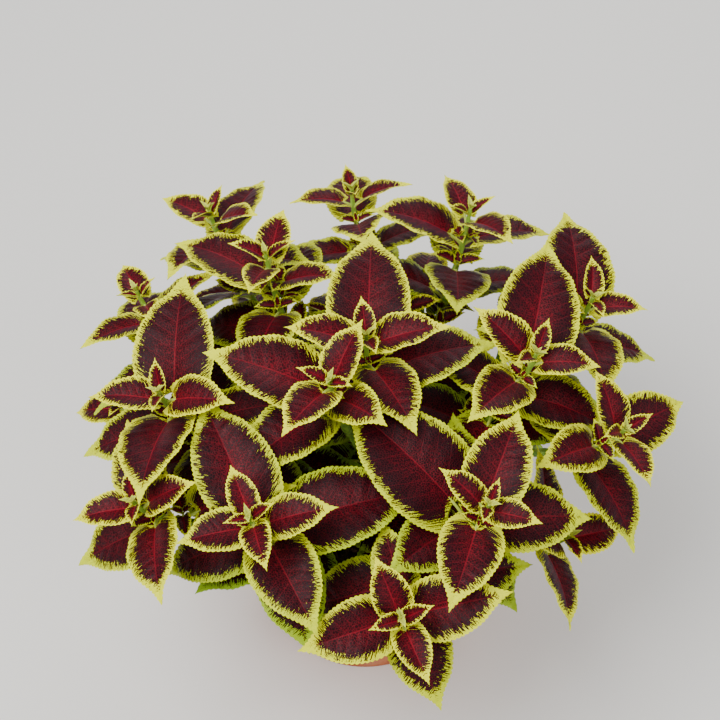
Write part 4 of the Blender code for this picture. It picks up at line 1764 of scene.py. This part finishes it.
def swept_tree(name: str, sides: int, squareness: float, material: Material) -> GeometryTree:
    """A tree that turns paths into closed tubes, from each point's radius.

    Args:
        name: The tree's name.
        sides: How many sides a tube has.
        squareness: 0 for round, up to about 0.3 for square with rounded corners.
        material: The tubes' finish.

    Returns:
        The tree.
    """
    tree = GeometryTree(name, Sides=sides, Squareness=squareness)
    curve = tree.add("GeometryNodeMeshToCurve", tree.start.outputs[0])
    radius = tree.fill(tree.add("GeometryNodeInputNamedAttribute", data_type="FLOAT"), Name="radius")
    sized = tree.fill(tree.add("GeometryNodeSetCurveRadius", curve.outputs[0]), Radius=radius.outputs[0])
    circle = tree.add("GeometryNodeCurvePrimitiveCircle")
    tree.fill(circle, Resolution=tree.size("Sides"), Radius=1.0)
    x, y, _ = tree.split(tree.add("GeometryNodeInputPosition").outputs[0])
    corner = tree.times(tree.math("ABSOLUTE", tree.times(x, y)), CORNER_SWELL)
    corner = tree.times(corner, tree.size("Squareness"))
    scale = tree.plus(tree.less(1.0, tree.times(tree.size("Squareness"), SIDE_SHRINK)), corner)
    spot = tree.vector(tree.times(x, scale), tree.times(y, scale), 0.0)
    shaped = tree.fill(tree.add("GeometryNodeSetPosition", circle.outputs[0]), Position=spot)
    tube = tree.add("GeometryNodeCurveToMesh", sized.outputs[0])
    tree.fill(tube, Profile_Curve=shaped.outputs[0], Fill_Caps=True)
    if "Scale" in tube.inputs:
        tree.feed(tube.inputs["Scale"], radius.outputs[0])
    tree.close(tube.outputs[0], material)
    return tree


def hair_tree(material: Material, seed: int) -> GeometryTree:
    """A tree that grows short stiff hairs on a surface.

    Args:
        material: The hairs' finish.
        seed: The seed of their places.

    Returns:
        The tree.
    """
    tree = GeometryTree("hairs", Density=HAIR_DENSITY, Length=HAIR_LENGTH, Thickness=HAIR_THICKNESS)
    scattered = tree.add("GeometryNodeDistributePointsOnFaces", tree.start.outputs[0])
    tree.fill(scattered, Density=tree.size("Density"), Seed=seed)
    cone = tree.add("GeometryNodeMeshCone", fill_type="NONE")
    tree.fill(cone, Vertices=3, Radius_Bottom=tree.size("Thickness"), Depth=tree.size("Length"))
    planted = tree.add("GeometryNodeInstanceOnPoints", scattered.outputs["Points"])
    tree.fill(planted, Instance=cone.outputs["Mesh"], Rotation=scattered.outputs["Rotation"])
    tree.fill(planted, Scale=tree.draws(*HAIR_SIZES, 0))
    tree.close(planted.outputs[0], material)
    return tree


@dataclass(frozen=True)
class Litter:
    """Rough grains of one kind: how many to a square metre, their mean radius, and how flat they are."""

    name: str
    density: float
    size: float
    flatness: float
    seed: int
    finish: Finish
    sizes: Ends = (0.4, 1.5)
    narrowing: float = 0.7
    roughness: float = 0.9

    def tree(self) -> GeometryTree:
        """A tree that scatters the grains over the parts of a surface that face up.

        Returns:
            The tree.
        """
        tree = GeometryTree(self.name, Density=self.density, Size=self.size, Flatness=self.flatness)
        up = tree.split(tree.add("GeometryNodeInputNormal").outputs[0])[2]
        facing = tree.add("FunctionNodeCompare", data_type="FLOAT", operation="GREATER_THAN")
        tree.feed(facing.inputs[0], up)
        tree.feed(facing.inputs[1], LEVEL_ENOUGH)
        scattered = tree.add("GeometryNodeDistributePointsOnFaces", tree.start.outputs[0])
        tree.fill(scattered, Selection=facing.outputs[0], Density=tree.size("Density"), Seed=self.seed)
        grain = tree.fill(tree.add("GeometryNodeMeshIcoSphere"), Radius=tree.size("Size"), Subdivisions=2)
        turn = tree.fill(tree.add("FunctionNodeRandomValue", data_type="FLOAT_VECTOR"), Seed=self.seed)
        turn.inputs[1].default_value = (2 * math.pi,) * 3
        wide = tree.draws(*self.sizes, self.seed + 1)
        flat = tree.less(1.0, tree.size("Flatness"))
        scale = tree.vector(wide, tree.times(wide, self.narrowing), tree.times(wide, flat))
        planted = tree.add("GeometryNodeInstanceOnPoints", scattered.outputs["Points"])
        tree.fill(planted, Instance=grain.outputs["Mesh"], Rotation=turn.outputs[0], Scale=scale)
        real = tree.add("GeometryNodeRealizeInstances", planted.outputs[0])
        noise = tree.fill(tree.add("ShaderNodeTexNoise"), Scale=self.roughness / self.size)
        push = tree.times(tree.less(noise.outputs[0], 0.5), self.size)
        normal = tree.add("GeometryNodeInputNormal").outputs[0]
        way = tree.fill(tree.add("ShaderNodeVectorMath", normal, operation="SCALE"), Scale=push)
        rough = tree.fill(tree.add("GeometryNodeSetPosition", real.outputs[0]), Offset=way.outputs[0])
        tree.close(rough.outputs[0], self.finish.build())
        return tree


# What lies on the compost
LITTER = (
    Litter("compost_crumbs", 29000.0, 1.5 * MM, 0.2, 3, SoilFinish("compost_crumb", 0.95, specular=0.2)),
    Litter("white_grains", 3600.0, 1.3 * MM, 0.1, 11,
           SpeckFinish("white_grain", 0.8, dark=hexed("b9b3a6"), light=hexed("e6e2d8"), scale=500.0)),
    Litter("bark_flakes", 2600.0, 2.6 * MM, 0.75, 23,
           SpeckFinish("bark_flake", 0.85, dark=hexed("2b1a10"), light=hexed("6f4a2c"), scale=380.0)),
)


def link_mesh(name: str, mesh: bpy.types.Mesh) -> bpy.types.Object:
    """A mesh as a new object of the scene.

    Args:
        name: The object's name.
        mesh: The mesh.

    Returns:
        The object.
    """
    obj = bpy.data.objects.new(name, mesh)
    bpy.context.scene.collection.objects.link(obj)
    return obj


def settle_piece(piece: bpy.types.Object, slot: str, *nodes: str) -> None:
    """Fixes a finished piece to the body and hides the solids that it stands for.

    Args:
        piece: The piece.
        slot: Its slot; not used.
        nodes: The solids.
    """
    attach(piece, ROOT_BODY)
    if nodes:
        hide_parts(*nodes)
    triangles = sum(len(face.vertices) - 2 for face in piece.data.polygons)
    log.info("%s: %d triangles", piece.name, triangles)


@dataclass
class Pot:
    """The clay pot."""

    height: float = POT_HEIGHT
    base_radius: float = 74 * MM
    body_radius: float = POT_BODY_RADIUS
    rim_radius: float = RIM_RADIUS
    rim_height: float = 26 * MM
    rounding: float = 3 * MM
    bevel: float = 2 * MM
    arc_points: int = 7
    wall: float = 5.5 * MM
    floor: float = 7 * MM
    floor_bevel: Ends = (2 * MM, 3 * MM)
    drain_radius: float = 5 * MM
    drain_circle: float = 44 * MM
    drains: int = 4
    drain_sides: int = 32
    sides: int = 144
    side_from: float = 6 * MM
    side_rings: int = 26
    inner_rings: int = 12
    ripple: float = 0.12 * MM
    ripple_turn: float = 1.9
    rim_belly: float = 0.3 * MM
    sharp_from: float = math.radians(40)
    finish: Finish = ClayFinish("clay_terracotta", 0.86, specular=0.3)

    def inner_radius(self, height: float) -> float:
        """The inner radius at a height: the body's taper, less the wall."""
        share = height / self.height
        return self.base_radius + (self.body_radius - self.base_radius) * share - self.wall

    def arc(self, middle: tuple[float, float], radius: float, start: float, end: float) -> list[tuple]:
        """Points round part of a circle in the outline's plane, from one angle to another in degrees."""
        angles = np.radians(np.linspace(start, end, self.arc_points))
        return [(middle[0] + radius * math.cos(a), middle[1] + radius * math.sin(a)) for a in angles]

    def outline(self) -> list[tuple[float, float]]:
        """The pot's cut face, up the outside and down the inside.

        Returns:
            Points as (radius, height).
        """
        under_rim = self.height - self.rim_height
        bevel, soft = self.bevel, self.rounding
        outer = [(0.0, 0.0), (self.base_radius - bevel * 2, 0.0)]
        outer += self.arc((self.base_radius - bevel, bevel), bevel, -90, 0)
        for k, height in enumerate(np.linspace(self.side_from, under_rim - bevel, self.side_rings)):
            ripple = self.ripple * math.sin(k * self.ripple_turn)
            outer.append((self.inner_radius(height) + self.wall + ripple, height))
        outer.append((self.inner_radius(under_rim) + self.wall, under_rim))
        outer += self.arc((self.rim_radius - soft, under_rim + soft), soft, -90, 0)
        outer.append((self.rim_radius - self.rim_belly, self.height - self.rim_height / 2))
        outer += self.arc((self.rim_radius - soft, self.height - soft), soft, 0, 90)
        lip = self.inner_radius(self.height - soft)
        outer += self.arc((lip + soft / 2, self.height - soft / 2), soft / 2, 90, 180)
        across, up = self.floor_bevel
        for height in np.linspace(self.height - 2 * soft, self.floor + up, self.inner_rings):
            outer.append((self.inner_radius(height), height))
        outer += [(self.inner_radius(self.floor) - across, self.floor), (0.0, self.floor)]
        return outer

    def build(self) -> None:
        """Turns the pot, drills its drain holes and fixes it to the body."""
        points, faces = drum(self.outline(), self.sides)
        parts = MeshParts()
        parts.add(np.array(points), [np.array([face]) for face in faces])
        pot = parts.to_object("clay_pot", self.finish.build())
        for k in range(self.drains):
            angle = math.pi / 4 + k * math.pi / 2
            self.drill(pot, Vector((math.cos(angle), math.sin(angle), 0.0)) * self.drain_circle)
        pot.data.set_sharp_from_angle(angle=self.sharp_from)
        settle_piece(pot, "clay", "pot")

    def drill(self, pot: bpy.types.Object, centre: Vector) -> None:
        """Cuts one drain hole.

        Args:
            pot: The pot.
            centre: Where the hole is.
        """
        low, high = -self.floor, 2 * self.floor
        outline = [(0.0, low), (self.drain_radius, low), (self.drain_radius, high), (0.0, high)]
        points, faces = drum(outline, self.drain_sides)
        mesh = bpy.data.meshes.new("drill")
        mesh.from_pydata([tuple(Vector(p) + centre) for p in points], [], faces)
        drill = link_mesh("drill", mesh)
        cut = pot.modifiers.new("cut", "BOOLEAN")
        cut.operation, cut.object = "DIFFERENCE", drill
        graph = bpy.context.evaluated_depsgraph_get()
        pot.data = bpy.data.meshes.new_from_object(pot.evaluated_get(graph))
        pot.modifiers.remove(cut)
        bpy.data.objects.remove(drill)


@dataclass
class SoilBed:
    """The compost in the pot, with the crumbs and grains that lie on it."""

    pot: Pot
    gap: float = 0.3 * MM
    shoulder: float = 2 * MM
    relief: float = 1.5 * MM
    sides: int = 120
    rings: int = 22
    finish: Finish = SoilFinish("compost_damp", 0.95, specular=0.25)

    def build(self) -> None:
        """Makes the crumbly block of soil, strews it with grains and fixes them to the body."""
        draw = random.Random("fine soil")
        base = self.pot.floor + self.gap
        shoulder = SOIL_TOP - self.shoulder
        edge = self.pot.inner_radius(shoulder) - self.gap
        outline = [(0.0, base), (self.pot.inner_radius(base) - self.gap, base), (edge, shoulder)]
        for k in range(self.rings):
            radius = (edge - self.shoulder) * (1 - k / self.rings)
            outline.append((radius, soil_height(radius)))
        outline.append((0.0, soil_height(0.0)))
        points, faces = drum(outline, self.sides)
        points = np.array(points)
        top = points[:, 2] > shoulder + self.gap
        points[top, 2] += np.array([draw.uniform(-1, 1) for _ in range(int(top.sum()))]) * self.relief
        parts = MeshParts()
        parts.add(points, [np.array([face]) for face in faces])
        soil = parts.to_object("compost_bed", self.finish.build())
        for litter in LITTER:
            piece = litter.tree().bake(soil, litter.name)
            piece.data.shade_smooth()
            settle_piece(piece, "compost", "soil")
        settle_piece(soil, "compost", "soil")


def tube_look(shares: np.ndarray, along: np.ndarray, kind: float) -> np.ndarray:
    """What the stalks' finish reads: shares of the tube, distances along it, and how pale it is."""
    return np.stack([shares, along, np.full(len(shares), kind)], axis=-1)


@dataclass
class LeafyStem:
    """One stem: its stalks and leaf stalks, its blades, its side buds, and the hairs on its stalks."""

    name: str
    routes: list[Route]
    leaves: list[tuple[int, int, Leaf]]
    side_shoots: list[SideShoot]
    dense: int = 48
    stalk_sides: int = 16
    squareness: float = 0.14
    swelling: float = 0.16
    swelling_reach: float = 3 * MM
    petiole_sides: int = 6
    petiole_points: int = 6
    petiole_radius: float = 1.2 * MM
    midrib_span: Ends = (0.06, 0.92)
    midrib_points: int = 12
    midrib_radius: float = 0.95 * MM
    midrib_end: float = 0.3 * MM
    midrib_depth: float = 0.72
    side_radius: float = 0.9 * MM
    side_paleness: float = 0.7
    side_length: float = 8.0
    side_age: float = 0.4
    young_points: int = 3
    young_share: float = 0.5
    young_length: float = 3.0

    def build(self, leaf_material: Material, stalk_material: Material, hair_material: Material) -> None:
        """Builds the stem's pieces and fixes them to the body.

        Args:
            leaf_material: The blades' finish.
            stalk_material: The stalks' finish.
            hair_material: The hairs' finish.
        """
        blades = self.blades().to_object(f"{self.name}_leaves", leaf_material)
        settle_piece(blades, "foliage", self.name)
        tree = swept_tree("stalks", self.stalk_sides, self.squareness, stalk_material)
        stalks = self.tubes("stalks", self.stalk_paths(), tree)
        settle_piece(stalks, "foliage", self.name)
        tree = swept_tree("leaf_stalks", self.petiole_sides, 0.0, stalk_material)
        petioles = self.tubes("leaf_stalks", [*self.petiole_paths(), *self.side_paths()], tree)
        settle_piece(petioles, "foliage", self.name)
        hairs = hair_tree(hair_material, len(self.leaves)).bake(stalks, f"{self.name}_hairs")
        settle_piece(hairs, "foliage", self.name)

    def blades(self) -> MeshParts:
        """Makes the blades of the leaves, of the buds and of the side shoots.

        Returns:
            The blades as parts of one mesh.
        """
        grown = [(leaf, LeafStage.of(rank, leaf.length), rank / OLDEST_RANK) for _, rank, leaf in self.leaves]
        young = [leaf for shoot in self.side_shoots for leaf in shoot.leaves]
        sets = (
            ("tint", grown),
            ("bud", [(leaf, LeafStage.BUD, TIP_AGE) for leaf in self.buds()]),
            ("young", [(leaf, LeafStage.SIDE, self.side_age) for leaf in young]),
        )
        parts = MeshParts()
        for label, blades in sets:
            for count, (leaf, stage, age) in enumerate(blades):
                seed = random.Random(f"{self.name} {label} {count}").random()
                Blade(leaf, FINENESS[stage], min(1.0, age), seed).add_to(parts)
        return parts

    def buds(self) -> list[Leaf]:
        """The small leaves at each growing tip.

        Returns:
            The leaves, four to a tip.
        """
        buds = []
        for number, route in enumerate(self.routes):
            draw = random.Random(f"{self.name} tip {number}")
            lean = route.lean(TIP_LEAN_DROP)
            for pair, (length, rise) in enumerate(TIP_PAIRS):
                for side in (0, 1):
                    way = draw.uniform(-TIP_WAY_DRAW, TIP_WAY_DRAW) + 180 * side + 90 * pair + TIP_WAY
                    buds.append(small_leaf(route.below_tip(TIP_LEAF_DROP), lean, way, rise, length))
        return buds

    def stalk_paths(self) -> list[Path]:
        """The stalks' fine paths.

        Returns:
            The paths.
        """
        shoots = STEMS[self.name]
        trunk = trunk_route(shoots[0], self.dense)
        routes = [trunk]
        start = Vector(self.routes[0].places[BRANCH_RING])
        routes += [branch_route(shoot, start, self.dense) for shoot in shoots[1:]]
        paths = []
        for number, route in enumerate(routes):
            lengths = route.lengths()
            radii = np.array([route.radius(share) for share in lengths / lengths[-1]])
            for rank, drop in enumerate(PAIR_DROP):
                at = lengths[-1] - drop * shoots[number].close
                if rank > 1 and at > 0:
                    near = np.exp(-(((lengths - at) / self.swelling_reach) ** 2))
                    radii = radii * (1 + self.swelling * near)
            look = tube_look(lengths / lengths[-1], lengths / MM, 0.0)
            paths.append((route.places, radii, look))
        return paths

    def petiole_paths(self) -> list[Path]:
        """The leaf stalks' paths, which run on under the blades as midribs.

        Returns:
            The paths.
        """
        paths = []
        for _, _, leaf in self.leaves:
            small = min(1.0, leaf.length / FULL_THICKNESS_FROM)
            scale = BUD_THICKNESS_SHARE + (1 - BUD_THICKNESS_SHARE) * small
            petiole = leaf.place(leaf.petiole_line(np.linspace(0.0, 1.0, self.petiole_points)), 0.0, 0.0)
            shares = np.linspace(*self.midrib_span, self.midrib_points)
            radii = self.midrib_radius + (self.midrib_end - self.midrib_radius) * shares
            rib = leaf.place(leaf.rib_line(shares), 0.0, -radii * self.midrib_depth * scale)
            radius = np.concatenate([np.full(len(petiole), self.petiole_radius), radii]) * scale
            share = np.linspace(0.0, 1.0, len(radius))
            paths.append((np.vstack([petiole, rib]), radius, tube_look(share, share * leaf.length / MM, 1.0)))
        return paths

    def side_paths(self) -> list[Path]:
        """The paths of the side shoots and of their leaf stalks.

        Returns:
            The paths.
        """
        paths = []
        for shoot in self.side_shoots:
            count = len(shoot.path)
            look = tube_look(np.zeros(count), np.linspace(0.0, self.side_length, count), self.side_paleness)
            paths.append((shoot.path, np.full(count, self.side_radius), look))
            count = self.young_points
            look = tube_look(np.zeros(count), np.linspace(0.0, self.young_length, count), 1.0)
            for leaf in shoot.leaves:
                petiole = leaf.place(leaf.petiole_line(np.linspace(0.0, 1.0, count)), 0.0, 0.0)
                paths.append((petiole, np.full(count, self.side_radius * self.young_share), look))
        return paths

    def tubes(self, label: str, paths: list[Path], tree: GeometryTree) -> bpy.types.Object:
        """Sweeps paths into tubes.

        Args:
            label: What the piece is called after the stem's name.
            paths: The paths.
            tree: The tree that sweeps them.

        Returns:
            The tubes as one object.
        """
        edges, start = [], 0
        for places, _, _ in paths:
            edges += [(start + k, start + k + 1) for k in range(len(places) - 1)]
            start += len(places)
        places, radii, looks = (np.concatenate(rows) for rows in zip(*paths))
        mesh = bpy.data.meshes.new(label)
        mesh.from_pydata(places.tolist(), edges, [])
        give_points(mesh, "radius", radii)
        give_points(mesh, "tube", looks)
        carrier = link_mesh(label, mesh)
        tubes = tree.bake(carrier, f"{self.name}_{label}")
        bpy.data.objects.remove(carrier)
        tubes.data.shade_smooth()
        return tubes


@dataclass(frozen=True)
class Lamp:
    """A soft square light, by its place, the length of its side and its power in watts."""

    name: str
    place: tuple[float, float, float]
    size: float
    power: float


@dataclass
class Studio:
    """The floor, the lights and the camera."""

    target: Vector = field(default_factory=lambda: Vector((0.0, 0.0, 0.30)))
    distance: float = 1.3
    elevation: float = 52.0
    pixel_size: float = 0.0007
    frame_pixels: int = 720
    shift_pixels: float = -5.0
    sensor: float = 36.0
    floor_half: float = 6.0
    floor_colour: Colour = hexed("e9e6e0")
    floor_roughness: float = 0.9
    sky_colour: Colour = (0.92, 0.95, 1.0)
    sky_strength: float = 0.55
    lamps: tuple[Lamp, ...] = (
        Lamp("key_light", (-0.7, -0.5, 1.7), 1.1, 38.0),
        Lamp("fill_light", (1.2, -0.9, 1.1), 1.4, 11.0),
        Lamp("rim_light", (0.3, 1.5, 1.3), 1.0, 14.0),
    )

    def build(self) -> None:
        """Sets up everything round the object."""
        self.add_floor()
        for lamp in self.lamps:
            self.add_lamp(lamp)
        self.add_world()
        self.add_camera()

    def add_floor(self) -> None:
        """Lays a wide pale floor."""
        mesh = bpy.data.meshes.new("floor")
        ways = ((-1, -1), (1, -1), (1, 1), (-1, 1))
        mesh.from_pydata([(x * self.floor_half, y * self.floor_half, 0.0) for x, y in ways], [], [range(4)])
        material = bpy.data.materials.new("studio_floor")
        material.use_nodes = True
        shader = material.node_tree.nodes["Principled BSDF"]
        colour = (*self.floor_colour, 1.0)
        Graph(material.node_tree).fill(shader, Base_Color=colour, Roughness=self.floor_roughness)
        mesh.materials.append(material)
        link_mesh("floor", mesh)

    def add_lamp(self, lamp: Lamp) -> None:
        """Hangs a light that faces the plant.

        Args:
            lamp: The light.
        """
        light = bpy.data.lights.new(lamp.name, "AREA")
        light.size = lamp.size
        light.energy = lamp.power
        holder = bpy.data.objects.new(lamp.name, light)
        holder.location = lamp.place
        holder.rotation_euler = (self.target - Vector(lamp.place)).to_track_quat("-Z", "Y").to_euler()
        bpy.context.scene.collection.objects.link(holder)

    def add_world(self) -> None:
        """Makes an even pale sky."""
        world = bpy.data.worlds.new("soft_sky")
        world.use_nodes = True
        background = world.node_tree.nodes["Background"]
        colour = (*self.sky_colour, 1.0)
        Graph(world.node_tree).fill(background, Color=colour, Strength=self.sky_strength)
        bpy.context.scene.world = world

    def add_camera(self) -> None:
        """Sets up the camera, at the angle that the plant is seen from."""
        rise = math.radians(self.elevation)
        away = Vector((0.0, -math.cos(rise), math.sin(rise)))
        camera = bpy.data.cameras.new("camera")
        camera.sensor_width = self.sensor
        camera.lens = self.sensor * self.distance / (self.frame_pixels * self.pixel_size)
        camera.shift_x = self.shift_pixels / self.frame_pixels
        camera.shift_y = -self.shift_pixels / self.frame_pixels
        holder = bpy.data.objects.new("camera", camera)
        holder.location = self.target + away * self.distance
        holder.rotation_euler = (-away).to_track_quat("-Z", "Y").to_euler()
        bpy.context.scene.collection.objects.link(holder)
        bpy.context.scene.camera = holder


def main() -> None:
    """Builds and dresses the plant, its pot and the studio."""
    logging.basicConfig(level=logging.INFO, format="%(message)s")
    Studio().build()
    pot = Pot()
    pot.build()
    SoilBed(pot).build()
    layout = Layout()
    layout.grow()
    leaf_material = LeafFinish(
        "coleus_leaf", 0.44, sheen=0.03, sheen_roughness=0.4, sheen_tint=(0.7, 0.45, 1.0), specular=0.13
    ).build()
    stalk_material = StalkFinish("green_stalk", 0.5, specular=0.4).build()
    hair_material = SpeckFinish(
        "stalk_hair", 0.6, dark=hexed("9fb36a"), light=hexed("d6dfb0"), scale=400.0
    ).build()
    for name in STEMS:
        stem = LeafyStem(name, layout.routes[name], layout.leaves[name], layout.side_shoots[name])
        stem.build(leaf_material, stalk_material, hair_material)


if __name__ == "__main__":
    main()
